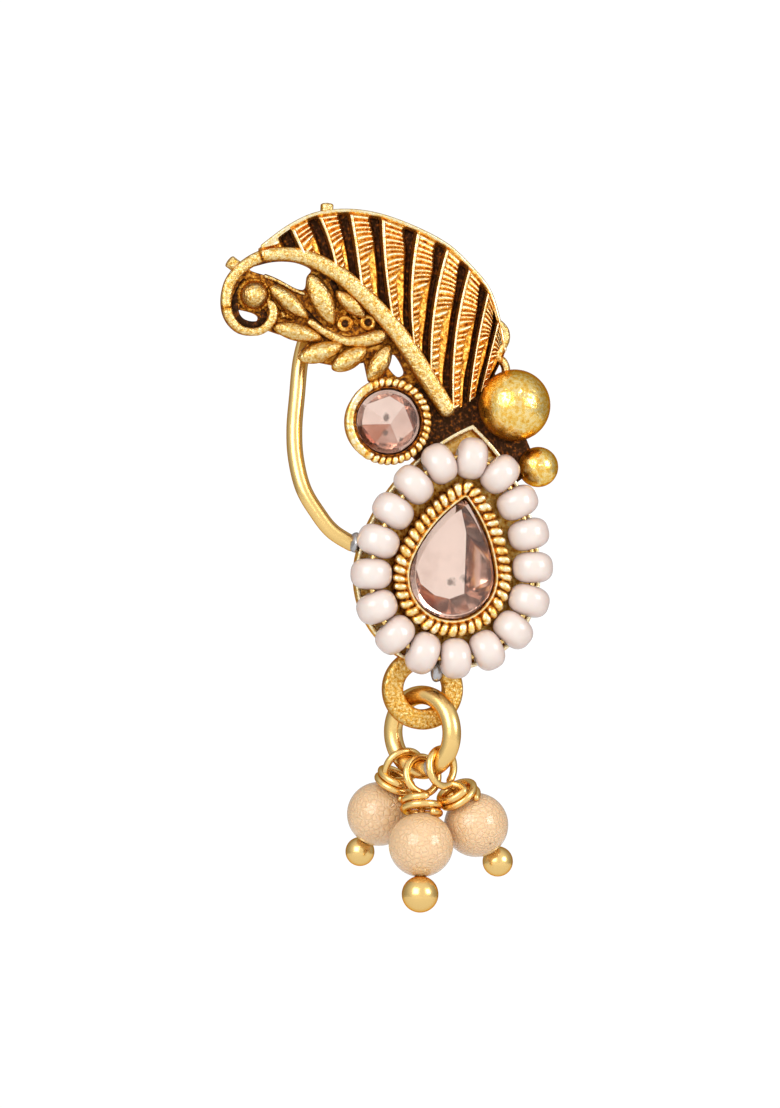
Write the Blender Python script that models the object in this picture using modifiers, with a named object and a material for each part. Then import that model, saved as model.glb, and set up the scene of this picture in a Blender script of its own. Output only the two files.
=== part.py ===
"""A nath nose ring: a feather casting over a pear-shaped setting that is ringed with pearls,
with a nose wire at one side and three pearl drops on a jump ring below.

Metres, +Z up. The front, with the stones, faces -Y. Everything is drawn in one upright plane,
with places given as across (X), up (Z) and forward (-Y). The middle of the pear stone is the
drawing's zero and the flat back of the casting is forward 0. An empty then carries the whole
piece so that the nostril's place, between the nose wire's tip and the casting, is the origin.
"""
import math

import bmesh
import bpy
from mathutils import Matrix, Vector

# General
PIECE_GAP = 0.00010          # clearance between pieces that touch on the real jewel
WELD = 0.000001              # merge distance for loose caps and seams
BACK_STEP = 0.00012          # what stands on the casting stops short of its flat back by this

# Pear stone and its cup
PEAR_WIDTH = 0.0056
PEAR_LENGTH = 0.0080
PEAR_SHOULDER = 15.0         # degrees above the widest line where the round foot ends
PEAR_TILT = 9.5              # degrees that the tip leans to the right
PEAR_CROWN = 0.00075
PEAR_CUP_HEIGHT = 0.0025
PEAR_LIP = 0.00032           # plain metal seen between stone and rope
PEAR_ROPE = 0.00072          # thickness of the rope edge
PEAR_ROPE_LOBE = 0.00065     # length of one lobe along the rope

# Round stone and its cup
ROUND_WIDTH = 0.0042
ROUND_CROWN = 0.00065
ROUND_CUP_HEIGHT = 0.0023
ROUND_LIP = 0.00010
ROUND_ROPE = 0.00060
ROUND_ROPE_LOBE = 0.00046

# What both stones share
CUP_FLOOR = 0.0006
STONE_LEDGE = 0.00015
GIRDLE = 0.00020
TABLE_SHARE = 0.62           # width of a stone's table, of the stone's own
FACET_LIMIT = 0.5            # degrees under which two faces are one facet
ROPE_OVERHANG = 0.00030      # how far a rope edge stands out past its cup's wall

# Pearls, their wire and the tray that they lie in
PEARL_COUNT = 17
PEARL_DIAMETER = 0.0028
PEARL_HOLE = 0.0009
PEARL_SHARE = 0.88           # of its pitch on the wire that a pearl fills
PEARL_FULLNESS = 1.2
PEARL_WIRE = 0.00040
STRING_TIP_RADIUS = 0.0034
STRING_TIP_REACH = 0.0001    # extra reach of the string past the pear's tip
STRING_SHOULDER = 5.0
TRAY_FLOOR = 0.0005
TRAY_RIM_HEIGHT = 0.0010
TRAY_WALL = 0.00032
TRAY_REACH = 0.00085         # from the pearls' wire to the outside of the rim
TRAY_TIP_REACH = 0.00245     # the same at the pointed tip
TRAY_SHOULDER = 10.0

# Feather casting
FEATHER_SPAN = 0.0220
FEATHER_RISE = 0.0140
FEATHER_PLATE = 0.0009       # metal at the bottom of the grooves
BARB_RELIEF = 0.0008         # crest of a barb above the grooves
RIM_WIRE = 0.00036
RACHIS_WIDTH = 0.00127
SPRAY_PLATE = 0.0006
LEAF_THICKNESS = 0.0012
STEM_WIDTH = 0.00075
SPRAY_BALL = 0.0018
NUB_WIDTH = 0.0007
BIG_BALL = 0.0048
SMALL_BALL = 0.0027
BALL_RISE = 0.28             # share of a ball's width from the casting's back to its middle
RAISED = 0.30                # share of a leaf's, stem's or rachis' width from plate to middle
STANDOFF = 0.00040           # between the tray's rim and the cup and balls beside it

# Nose wire
NOSE_WIRE = 0.00107
HOOP_WIDTH = 0.0041
HOOP_HEIGHT = 0.0170
NOSTRIL_GAP = 0.0018         # between the wire's tip and the flat back of the casting
SOLDER_WIDTH = 0.0009

# Loop, jump ring and drops
LOOP_OUTER = 0.0054
LOOP_INNER = 0.0027
LOOP_DEPTH = 0.0012
LOOP_CHAMFER = 0.00025
LOOP_DROP = 0.00140          # from the tray's rim down to the middle of the loop
JUMP_RING = 0.0050           # across the middle of the wire
JUMP_WIRE = 0.00125
JUMP_TURN = 49.0             # degrees that the jump ring is turned out of the front plane
JUMP_LIFT = 0.00034          # how far the ring's wire rides up in the loop's bore
DROP_REACH = 0.00743         # from the jump ring's middle to the middle drop's bead
DROP_BEAD = 0.0043
DROP_HOLE = 0.00080
PIN_WIRE = 0.00050
PIN_BALL = 0.0022
EYE_CLEARANCE = 0.00018      # between the jump ring's wire and a pin's eye
WRAP_RADIUS = 0.00100
WRAP_TURNS = 1.5

# Crests of the barbs, as shares of the feather's span and rise from the tray's tip: foot of
# the crest on the rachis, its end on the outer edge, and its bow as a share of its own length.
# The first and last rows are the ends of the vane.
BARB_CRESTS = [
    # foot across, foot up, end across, end up, bow
    (-0.652, 0.790, -0.652, 0.829, 0.00),
    (-0.526, 0.795, -0.566, 0.929, 0.00),
    (-0.425, 0.714, -0.483, 0.990, 0.04),
    (-0.348, 0.614, -0.385, 1.007, 0.01),
    (-0.252, 0.476, -0.286, 0.986, -0.02),
    (-0.185, 0.343, -0.175, 0.924, -0.045),
    (-0.135, 0.200, -0.083, 0.848, -0.047),
    (-0.068, 0.076, -0.015, 0.752, -0.045),
    (-0.018, 0.105, 0.043, 0.643, -0.02),
    (0.018, 0.152, 0.074, 0.505, 0.00),
    (0.055, 0.219, 0.095, 0.343, 0.00),
]

# Across one barb, from its crest to the next: share of the way, share of the relief.
BARB_PROFILE = [(0.0, 1.0), (0.14, 0.80), (0.62, 0.50), (0.73, 0.05), (0.93, 0.0)]

# Along a crest from the rachis to the edge: share of the way, share of the barb profile kept.
BARB_FADE = [(0.0, 0.9), (0.16, 1.0), (0.38, 1.0), (0.62, 1.0), (0.88, 0.95), (1.0, 0.0)]
EDGE_LEVEL = 0.45

# Middle line of the rachis from its lower end up and round the curl, with its width.
RACHIS_LINE = [
    # across, up, width
    (-0.071, 0.038, 0.90),
    (-0.145, 0.219, 1.00),
    (-0.203, 0.362, 0.98),
    (-0.258, 0.476, 0.95),
    (-0.335, 0.600, 0.93),
    (-0.418, 0.710, 0.90),
    (-0.526, 0.790, 0.80),
    (-0.631, 0.795, 0.68),
    (-0.702, 0.743, 0.62),
    (-0.745, 0.667, 0.60),
    (-0.758, 0.581, 0.55),
    (-0.748, 0.500, 0.50),
    (-0.714, 0.443, 0.42),
    (-0.668, 0.431, 0.38),
    (-0.631, 0.457, 0.34),
]

# Leaves of the spray: the two ends of the leaf and its width.
LEAVES = [
    # start across, start up, end across, end up, width
    (-0.623, 0.652, -0.506, 0.497, 0.049),
    (-0.502, 0.710, -0.429, 0.468, 0.062),
    (-0.422, 0.630, -0.330, 0.502, 0.046),
    (-0.615, 0.462, -0.463, 0.400, 0.049),
    (-0.537, 0.305, -0.400, 0.371, 0.055),
    (-0.434, 0.257, -0.325, 0.357, 0.055),
    (-0.320, 0.200, -0.255, 0.376, 0.055),
]

STEM_LINE = [(-0.508, 0.490), (-0.455, 0.433), (-0.397, 0.393), (-0.340, 0.393),
             (-0.289, 0.416), (-0.245, 0.462)]

SPRAY_BALL_PLACE = (-0.668, 0.607)
NUB_PLACES = [(-0.449, 1.016), (-0.735, 0.752)]
END_BUMP_PLACE = (0.090, 0.376)

# Lower side of the plate behind the spray, from the curl back to the rachis' lower end.
SPRAY_EDGE = [(-0.597, 0.425), (-0.500, 0.385), (-0.523, 0.345), (-0.505, 0.300),
              (-0.412, 0.272), (-0.330, 0.290), (-0.318, 0.205), (-0.262, 0.110)]

# Gaps that go right through the casting.
SPRAY_GAPS = [
    [(-0.680, 0.725), (-0.645, 0.752), (-0.594, 0.767), (-0.538, 0.762), (-0.493, 0.731),
     (-0.505, 0.695), (-0.512, 0.640), (-0.540, 0.640), (-0.600, 0.686)],
    [(-0.727, 0.536), (-0.675, 0.524), (-0.655, 0.502), (-0.665, 0.476), (-0.697, 0.468),
     (-0.719, 0.486)],
    [(-0.260, 0.282), (-0.238, 0.329), (-0.208, 0.248), (-0.231, 0.225)],
]

# The nose wire from the tray's rim to its free tip: across as a share of the hoop's width, up
# as a share of its height, and back as a share of the way from the rim to behind the casting.
NOSE_LINE = [
    (0.00, 0.000, 0.00),
    (-0.41, 0.059, 0.03),
    (-0.67, 0.137, 0.10),
    (-0.886, 0.231, 0.20),
    (-0.99, 0.349, 0.34),
    (-1.00, 0.463, 0.47),
    (-0.94, 0.588, 0.64),
    (-0.86, 0.737, 0.78),
    (-0.715, 0.843, 0.88),
    (-0.455, 0.937, 0.95),
    (-0.065, 1.000, 1.00),
]

# Drops: the place of the eye round the jump ring in degrees from its lowest point, then the
# bead's middle from the jump ring's, as shares of the drop's reach.
DROPS = {
    # eye, across, forward, up
    "left": (-36.0, -0.327, -0.390, -0.748),
    "middle": (0.0, -0.042, 0.162, -1.000),
    "right": (36.0, 0.502, -0.054, -0.838),
}

# Places on the tray's outline, as shares of the way round it from the tip, clockwise.
BIG_BALL_AT = 0.0225
SMALL_BALL_AT = 0.1055
ROUND_CUP_AT = 0.900
NOSE_WIRE_AT = 0.7415
LOOP_AT = 0.5065


def place(across, up, forward=0.0):
    """A point of the drawing as a vector."""
    return Vector((across, -forward, up))


def start_scene():
    """Empty the scene and give it the collections and the empty that carries the jewel."""
    for thing in list(bpy.data.objects):
        bpy.data.objects.remove(thing)
    for name in ("nath", "workings"):
        bpy.context.scene.collection.children.link(bpy.data.collections.new(name))
    carrier = bpy.data.objects.new("nostril", None)
    bpy.data.collections["nath"].objects.link(carrier)
    return carrier


def working(name, data, matrix=None):
    """A helper object that the build leaves out."""
    thing = bpy.data.objects.new(name, data)
    thing.hide_render = True
    thing.display_type = "WIRE"
    if matrix is not None:
        thing.matrix_world = matrix
    bpy.data.collections["workings"].objects.link(thing)
    return thing


def closed_mesh(source, name):
    """The evaluated shape of an object as a welded mesh in drawing coordinates."""
    bpy.context.view_layer.update()
    graph = bpy.context.evaluated_depsgraph_get()
    mesh = bpy.data.meshes.new_from_object(source.evaluated_get(graph), depsgraph=graph)
    mesh.transform(source.matrix_world)
    mesh.name = name
    form = bmesh.new()
    form.from_mesh(mesh)
    tidy(form)
    form.to_mesh(mesh)
    form.free()
    bpy.data.objects.remove(source)
    return mesh


def tidy(form):
    """Weld a form's loose seams and turn its faces outwards."""
    bmesh.ops.remove_doubles(form, verts=form.verts, dist=WELD)
    bmesh.ops.recalc_face_normals(form, faces=form.faces)


def mesh_of(form, name):
    """Close off a bmesh and keep it as a mesh."""
    tidy(form)
    mesh = bpy.data.meshes.new(name)
    form.to_mesh(mesh)
    form.free()
    return mesh


def combined(name, first, others, operation):
    """Join meshes into the first one, or cut them from it."""
    body = working(name, first)
    group = bpy.data.collections.new(name + "_with")
    bpy.data.collections["workings"].children.link(group)
    members = []
    for number, mesh in enumerate(others):
        member = bpy.data.objects.new(f"{name}_{number}", mesh)
        member.hide_render = True
        group.objects.link(member)
        members.append(member)
    boolean = body.modifiers.new(operation.lower(), "BOOLEAN")
    boolean.operation = operation
    boolean.solver = "EXACT"
    boolean.operand_type = "COLLECTION"
    boolean.collection = group
    mesh = closed_mesh(body, name)
    for member in members:
        bpy.data.objects.remove(member)
    bpy.data.collections.remove(group)
    return mesh


def joined(name, meshes):
    """One solid made of meshes that run into each other."""
    return combined(name, meshes[0], meshes[1:], "UNION")


def cut(name, mesh, cutters):
    """A mesh with other meshes taken out of it."""
    return combined(name, mesh, cutters, "DIFFERENCE")


def plate(name, outline, back, front):
    """A flat outline of (across, up) points, thick from back to front."""
    curve = bpy.data.curves.new(name, "CURVE")
    curve.dimensions = "2D"
    curve.fill_mode = "BOTH"
    curve.extrude = (front - back) / 2
    spline = curve.splines.new("POLY")
    spline.points.add(len(outline) - 1)
    for point, (across, up) in zip(spline.points, outline):
        point.co = (across, up, 0.0, 1.0)
    spline.use_cyclic_u = True
    stand = Matrix.Translation(place(0.0, 0.0, (back + front) / 2))
    stand = stand @ Matrix.Rotation(math.radians(90.0), 4, "X")
    return closed_mesh(working(name, curve, stand), name)


def tube(name, points, width, widths=None, cyclic=False, fine=1):
    """A round wire along points, with filled caps; fine 0, 1, 2 gives 4, 6, 8 sides."""
    curve = bpy.data.curves.new(name, "CURVE")
    curve.dimensions = "3D"
    curve.bevel_depth = width / 2
    curve.bevel_resolution = fine
    curve.use_fill_caps = not cyclic
    spline = curve.splines.new("POLY")
    spline.points.add(len(points) - 1)
    for number, (point, spot) in enumerate(zip(spline.points, points)):
        point.co = (*spot, 1.0)
        point.radius = widths[number] if widths else 1.0
    spline.use_cyclic_u = cyclic
    return closed_mesh(working(name, curve), name)


def turned(name, profile, sides):
    """A closed (radius, height) profile turned about its Z axis."""
    mesh = bpy.data.meshes.new(name)
    count = len(profile)
    mesh.from_pydata([(radius, 0.0, height) for radius, height in profile],
                     [(i, (i + 1) % count) for i in range(count)], [])
    body = working(name, mesh)
    screw = body.modifiers.new("turn", "SCREW")
    screw.angle = math.tau
    screw.steps = sides
    screw.render_steps = sides
    screw.use_merge_vertices = True
    screw.merge_threshold = WELD
    return closed_mesh(body, name)


def moved(mesh, matrix):
    """The same mesh after a move or a turn."""
    mesh.transform(matrix)
    return mesh


def ball(name, centre, width, around=12, rings=8, stretch=None, flat_back=False):
    """A sphere, stretched by a matrix if one is given, or cut off at the casting's back."""
    form = bmesh.new()
    bmesh.ops.create_uvsphere(form, u_segments=around, v_segments=rings, radius=width / 2)
    if stretch is not None:
        bmesh.ops.transform(form, matrix=stretch, verts=form.verts)
    else:
        bmesh.ops.rotate(form, matrix=Matrix.Rotation(math.radians(90.0), 3, "X"),
                         verts=form.verts)
    bmesh.ops.translate(form, vec=centre, verts=form.verts)
    if flat_back:
        everything = form.verts[:] + form.edges[:] + form.faces[:]
        bmesh.ops.bisect_plane(form, geom=everything, plane_co=place(0.0, 0.0, BACK_STEP),
                               plane_no=(0.0, 1.0, 0.0), clear_outer=True)
        bmesh.ops.holes_fill(form, edges=[edge for edge in form.edges if edge.is_boundary])
    return mesh_of(form, name)


def smooth(rows, position):
    """The row at a fractional place in a table, on a curve through all its rows."""
    last = len(rows) - 1
    step = min(int(position), last - 1)
    share = position - step
    before, start, end, after = (rows[min(max(step + k, 0), last)] for k in (-1, 0, 1, 2))
    return [0.5 * (2 * b + (c - a) * share + (2 * a - 5 * b + 4 * c - d) * share ** 2
                   + (3 * b - a - 3 * c + d) * share ** 3)
            for a, b, c, d in zip(before, start, end, after)]


def smooth_rows(rows, count):
    """So many rows, evenly spaced along the curve through a table."""
    return [smooth(rows, (len(rows) - 1) * k / (count - 1)) for k in range(count)]


class Pear:
    """A pear outline with its tip up: a round foot, two long side arcs and a rounded tip.

    It is kept as arcs, clockwise from the tip, so that a point, its outward direction and any
    parallel outline can be worked out.
    """

    def __init__(self, half_width, tip_height, shoulder, tip_radius=0.0):
        self.sizes = (half_width, tip_height, shoulder, tip_radius)
        lean = math.radians(shoulder)
        foot = half_width - tip_radius
        rise = tip_height - tip_radius
        swing = (rise ** 2 - foot ** 2) / (2 * (foot - rise * math.sin(lean)))
        side = (swing * math.cos(lean), swing * math.sin(lean))
        top = math.atan2(rise + side[1], side[0])
        quarter = math.pi / 2
        self.arcs = [
            ((0.0, rise), tip_radius, quarter, top),
            ((-side[0], -side[1]), half_width + swing, top, lean),
            ((0.0, 0.0), half_width, lean, -math.pi - lean),
            ((side[0], -side[1]), half_width + swing, math.pi - lean, math.pi - top),
            ((0.0, rise), tip_radius, math.pi - top, quarter),
        ]
        self.lengths = [radius * abs(end - start) for _, radius, start, end in self.arcs]
        self.length = sum(self.lengths)

    def grown(self, distance):
        """The parallel outline at a distance outside this one."""
        half_width, tip_height, shoulder, tip_radius = self.sizes
        if tip_radius + distance >= 0.0:
            return Pear(half_width + distance, tip_height + distance, shoulder,
                        tip_radius + distance)
        swing = self.arcs[1][1] - half_width
        lean = math.radians(shoulder)
        side = self.arcs[1][1] + distance
        rise = math.sqrt(side ** 2 - (swing * math.cos(lean)) ** 2) - swing * math.sin(lean)
        return Pear(half_width + distance, rise, shoulder)

    def at(self, share):
        """Point and outward direction at a share of the way round, leaning with the pear."""
        left = (share % 1.0) * self.length
        for (centre, radius, start, end), length in zip(self.arcs, self.lengths):
            if left <= length and length > 0.0:
                break
            left -= length
        turn = start + (end - start) * min(left / length, 1.0)
        outward = Vector((math.cos(turn), math.sin(turn)))
        point = Vector(centre) + radius * outward
        tilt = Matrix.Rotation(-math.radians(PEAR_TILT), 2)
        return tilt @ point, tilt @ outward

    def outline(self, count):
        """Evenly spaced points, the first at the tip."""
        return [tuple(self.at(k / count)[0]) for k in range(count)]


PEAR = Pear(PEAR_WIDTH / 2, PEAR_LENGTH - PEAR_WIDTH / 2, PEAR_SHOULDER)
PEAR_ROPE_OUT = PIECE_GAP + PEAR_LIP + PEAR_ROPE / 2
STRING_OUT = PEAR_ROPE_OUT + PEAR_ROPE / 2 + PIECE_GAP + PEARL_DIAMETER / 2
STRING = Pear(PEAR_WIDTH / 2 + STRING_OUT,
              PEAR_LENGTH - PEAR_WIDTH / 2 + STRING_OUT + STRING_TIP_REACH,
              STRING_SHOULDER, STRING_TIP_RADIUS)
TRAY = Pear(PEAR_WIDTH / 2 + STRING_OUT + TRAY_REACH,
            PEAR_LENGTH - PEAR_WIDTH / 2 + STRING_OUT + TRAY_TIP_REACH, TRAY_SHOULDER)
PEARL_FORWARD = (TRAY_RIM_HEIGHT + PIECE_GAP
                 + math.sqrt((PEARL_DIAMETER / 2) ** 2 - (TRAY_REACH - TRAY_WALL) ** 2))


def beside_tray(share, distance):
    """A point at a distance outside the tray's rim."""
    point, outward = TRAY.at(share)
    return point + outward * distance


def on_feather(across, up, forward=0.0):
    """A point of the casting from its shares of the span and the rise."""
    seat = TRAY.at(0.0)[0]
    return place(seat.x + across * FEATHER_SPAN, seat.y + up * FEATHER_RISE, forward)


def flat(point):
    """Across and up of a point."""
    return point.x, point.z


def circle(radius, centre, count):
    """Points of a circle as (across, up)."""
    return [(centre[0] + radius * math.sin(math.tau * k / count),
             centre[1] + radius * math.cos(math.tau * k / count)) for k in range(count)]


def rope(name, spots, width):
    """A closed rope edge: a tube that swells and narrows from point to point."""
    widths = [1.0 if k % 2 == 0 else 0.66 for k in range(len(spots))]
    return tube(name, spots, width, widths, cyclic=True)


def vane():
    """The feather's vane: a grid over the crests, low in the grooves, flat at the back."""
    columns = []
    for number in range(len(BARB_CRESTS) - 1):
        columns += [(number + share, height) for share, height in BARB_PROFILE]
    columns.append((len(BARB_CRESTS) - 1.0, 1.0))
    form = bmesh.new()
    grid = []
    for position, height in columns:
        foot_x, foot_z, end_x, end_z, bow = smooth(BARB_CRESTS, position)
        foot, end = on_feather(foot_x, foot_z), on_feather(end_x, end_z)
        chord = end - foot
        sideways = Vector((chord.z, 0.0, -chord.x))
        line = []
        for share, kept in BARB_FADE:
            level = height * kept + EDGE_LEVEL * (1.0 - kept)
            spot = foot + chord * share + sideways * bow * 4.0 * share * (1.0 - share)
            spot.y = -(FEATHER_PLATE + BARB_RELIEF * level)
            line.append(form.verts.new(spot))
        grid.append(line)
    for left, right in zip(grid, grid[1:]):
        for k in range(len(BARB_FADE) - 1):
            form.faces.new((left[k], right[k], right[k + 1], left[k + 1]))
    border = [edge for edge in form.edges if edge.is_boundary]
    skirt = bmesh.ops.extrude_edge_only(form, edges=border)["geom"]
    low = [item for item in skirt if isinstance(item, bmesh.types.BMVert)]
    for corner in low:
        corner.co.y = -BACK_STEP / 2
    bmesh.ops.holes_fill(form, edges=[edge for edge in form.edges if edge.is_boundary])
    return mesh_of(form, "vane")


def vane_edge():
    """The thin bright wire that runs along the vane's outer edge, mostly outside it."""
    rows = smooth_rows(BARB_CRESTS, 25)
    forward = FEATHER_PLATE + BARB_RELIEF * EDGE_LEVEL - RIM_WIRE / 5
    points = []
    for foot_x, foot_z, end_x, end_z, _ in rows:
        end = on_feather(end_x, end_z, forward)
        outward = (end - on_feather(foot_x, foot_z, forward)).normalized()
        points.append(end + outward * RIM_WIRE / 5)
    return tube("vane_edge", points, RIM_WIRE)


def rachis():
    """The rachis, which tapers as it goes up and round its curl."""
    rows = smooth_rows(RACHIS_LINE, 31)
    forward = FEATHER_PLATE + RACHIS_WIDTH * RAISED
    points = [on_feather(across, up, forward) for across, up, _ in rows]
    return tube("rachis", points, RACHIS_WIDTH, [width for _, _, width in rows])


def spray_plate():
    """The plate behind curl and leaves, with the gaps cut right through."""
    upper = [flat(on_feather(across, up)) for across, up, _ in smooth_rows(RACHIS_LINE, 22)]
    lower = [flat(on_feather(across, up)) for across, up in SPRAY_EDGE]
    return plate("spray_plate", upper + lower, 0.0, SPRAY_PLATE)


def gap_cutters():
    """Cutters for the gaps that go through the casting."""
    reach = FEATHER_PLATE + BARB_RELIEF
    return [plate(f"gap_{number}", [flat(on_feather(*spot)) for spot in gap], -reach, reach)
            for number, gap in enumerate(SPRAY_GAPS)]


def leaf(number, start_x, start_z, end_x, end_z, width):
    """One plump leaf, lying on the spray's plate."""
    forward = SPRAY_PLATE + LEAF_THICKNESS * RAISED
    start, end = on_feather(start_x, start_z, forward), on_feather(end_x, end_z, forward)
    along = end - start
    long_way = along.normalized()
    depth = Vector((0.0, -1.0, 0.0))
    side = long_way.cross(depth)
    turn = Matrix((side, depth, long_way)).transposed()
    swell = Matrix.Diagonal((width * FEATHER_SPAN, LEAF_THICKNESS, along.length))
    return ball(f"leaf_{number}", (start + end) / 2, 1.0, around=8, rings=6,
                stretch=(turn @ swell).to_4x4())


def spray():
    """Leaves, stem and the small ball in the curl."""
    parts = [leaf(number, *row) for number, row in enumerate(LEAVES)]
    forward = SPRAY_PLATE + STEM_WIDTH * RAISED
    parts.append(tube("stem", [on_feather(*spot, forward) for spot in STEM_LINE], STEM_WIDTH))
    parts.append(ball("spray_ball", on_feather(*SPRAY_BALL_PLACE, SPRAY_PLATE), SPRAY_BALL,
                      flat_back=True))
    return parts


def balls():
    """The two smooth balls by the tray's tip, the casting nubs and the bump by the vane."""
    big = beside_tray(BIG_BALL_AT, BIG_BALL / 2 + STANDOFF)
    small = beside_tray(SMALL_BALL_AT, SMALL_BALL / 2 + STANDOFF)
    parts = [
        ball("big_ball", place(*big, BIG_BALL * BALL_RISE), BIG_BALL, 18, 12, flat_back=True),
        ball("small_ball", place(*small, SMALL_BALL * BALL_RISE), SMALL_BALL, 14, 8, flat_back=True),
        ball("end_bump", on_feather(*END_BUMP_PLACE, FEATHER_PLATE), NUB_WIDTH * 2,
             10, 6, flat_back=True),
    ]
    for number, spot in enumerate(NUB_PLACES):
        parts.append(ball(f"nub_{number}", on_feather(*spot, FEATHER_PLATE), NUB_WIDTH, 8, 6))
    return parts


def round_cup_centre():
    """The middle of the round cup, which stands just clear of the tray's rim."""
    return beside_tray(ROUND_CUP_AT, round_rope_radius() + ROUND_ROPE / 2 + STANDOFF)


def round_rope_radius():
    """From the middle of the round stone to the middle of its rope edge."""
    return ROUND_WIDTH / 2 + PIECE_GAP + ROUND_LIP + ROUND_ROPE / 2


def web():
    """The low plate that ties rachis, cup, balls and tray together."""
    cup = round_cup_centre()
    big = beside_tray(BIG_BALL_AT, BIG_BALL / 2 + STANDOFF)
    small = beside_tray(SMALL_BALL_AT, SMALL_BALL / 2 + STANDOFF)
    corners = [tuple(cup), flat(on_feather(-0.262, 0.110)), flat(on_feather(-0.151, 0.210)),
               flat(on_feather(-0.068, 0.076)), flat(on_feather(-0.012, 0.138)),
               flat(on_feather(0.070, 0.240)), tuple(big), tuple(small), tuple(STRING.at(0.11)[0]),
               tuple(STRING.at(0.0)[0]), tuple(STRING.at(0.90)[0])]
    return plate("web", corners, BACK_STEP * 2, FEATHER_PLATE - BACK_STEP)


def cup_bores(name, inner, ledge, seat, front, floor):
    """Cutters for the inside of a cup: the stone's bore and the narrower bore below it."""
    return [plate(name + "_bore", inner, seat, front),
            plate(name + "_well", ledge, floor, seat + GIRDLE)]


def round_cup():
    """The round cup's outer wall and its rope edge."""
    centre = round_cup_centre()
    outer = round_rope_radius() + ROUND_ROPE / 2 - ROPE_OVERHANG
    wall = plate("round_cup", circle(outer, centre, 24), BACK_STEP, ROUND_CUP_HEIGHT)
    lobes = round(math.tau * round_rope_radius() / ROUND_ROPE_LOBE)
    spots = [place(*spot, ROUND_CUP_HEIGHT)
             for spot in circle(round_rope_radius(), centre, 2 * lobes)]
    return [wall, rope("round_rope", spots, ROUND_ROPE)]


def pear_cup():
    """The pear cup's outer wall and its rope edge."""
    wall = plate("pear_cup", PEAR.grown(PEAR_ROPE_OUT + PEAR_ROPE / 2 - ROPE_OVERHANG)
                 .outline(36), TRAY_FLOOR / 2, PEAR_CUP_HEIGHT)
    path = PEAR.grown(PEAR_ROPE_OUT)
    lobes = round(path.length / PEAR_ROPE_LOBE)
    spots = [place(*spot, PEAR_CUP_HEIGHT) for spot in path.outline(2 * lobes)]
    return [wall, rope("pear_rope", spots, PEAR_ROPE)]


def pear_seat():
    """Forward place of the ledge under the pear stone's girdle."""
    return PEAR_CUP_HEIGHT - GIRDLE * 2


def round_seat():
    """Forward place of the ledge under the round stone's girdle."""
    return ROUND_CUP_HEIGHT - GIRDLE * 2


def stone_cutters():
    """Cutters that open both cups for their stones."""
    centre = round_cup_centre()
    radius = ROUND_WIDTH / 2
    front = PEAR_CUP_HEIGHT + PEAR_ROPE + PEAR_CROWN
    return (cup_bores("round", circle(radius + PIECE_GAP, centre, 24),
                      circle(radius - STONE_LEDGE, centre, 24), round_seat(), front, CUP_FLOOR)
            + cup_bores("pear", PEAR.grown(PIECE_GAP).outline(36),
                        PEAR.grown(-STONE_LEDGE).outline(36), pear_seat(), front, TRAY_FLOOR))


def tray():
    """The tray's outline as a solid; the channel for the pearls is cut later."""
    return plate("tray", TRAY.outline(44), 0.0, TRAY_RIM_HEIGHT)


def tray_channel():
    """Cutter for the channel between the tray's rim and the pear cup."""
    front = TRAY_RIM_HEIGHT + PEARL_DIAMETER
    return plate("tray_channel", TRAY.grown(-TRAY_WALL).outline(44), TRAY_FLOOR, front)


def nose_wire():
    """The nose wire, soldered to the rim, which ends free behind the casting."""
    root = beside_tray(NOSE_WIRE_AT, 0.0)
    start = NOSE_WIRE / 2
    travel = start + NOSTRIL_GAP + NOSE_WIRE / 2
    points = [place(root.x + across * HOOP_WIDTH, root.y + up * HOOP_HEIGHT,
                    start - back * travel)
              for across, up, back in smooth_rows(NOSE_LINE, 27)]
    tip = ball("wire_tip", points[-1], NOSE_WIRE * 1.15, 8, 6)
    solder = ball("wire_solder", place(*root, start), SOLDER_WIDTH, 8, 6,
                  stretch=Matrix.Diagonal((1.0, 1.1, 1.5, 1.0)))
    return [tube("nose_wire", points, NOSE_WIRE, fine=2), tip, solder], points[-1]


def loop_centre():
    """The middle of the cast loop."""
    return beside_tray(LOOP_AT, LOOP_DROP)


def loop():
    """The cast loop under the tray, with its lump of solder."""
    half = LOOP_DEPTH / 2
    inner, outer, edge = LOOP_INNER / 2, LOOP_OUTER / 2, LOOP_CHAMFER
    profile = [(outer, half - edge), (outer, edge - half), (outer - edge, -half),
               (inner + edge, -half), (inner, edge - half), (inner, half - edge),
               (inner + edge, half), (outer - edge, half)]
    ring = turned("loop", profile, 18)
    stand = Matrix.Translation(place(*loop_centre(), loop_forward()))
    ring = moved(ring, stand @ Matrix.Rotation(math.radians(90.0), 4, "X"))
    root = beside_tray(LOOP_AT - 0.014, 0.0)
    solder = ball("loop_solder", place(*root, TRAY_RIM_HEIGHT * 0.6), SOLDER_WIDTH, 8, 6,
                  stretch=Matrix.Diagonal((0.9, 1.1, 1.4, 1.0)))
    return [ring, solder]


def loop_forward():
    """Forward place of the middle of the loop, whose front is just behind the tray's rim."""
    return TRAY_RIM_HEIGHT - PIECE_GAP - LOOP_DEPTH / 2


def soldered_frame():
    """All the metal that is soldered together, and the place of the nose wire's tip."""
    wire, tip = nose_wire()
    plates = joined("plates", [tray(), *loop(), web(), spray_plate()])
    base = cut("base", plates, [tray_channel(), *gap_cutters()])
    metal = joined("metal", [base, vane(), vane_edge(), rachis(), *spray(), *balls(),
                             *round_cup(), *pear_cup(), *wire])
    return cut("soldered_frame", metal, stone_cutters()), tip


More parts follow.
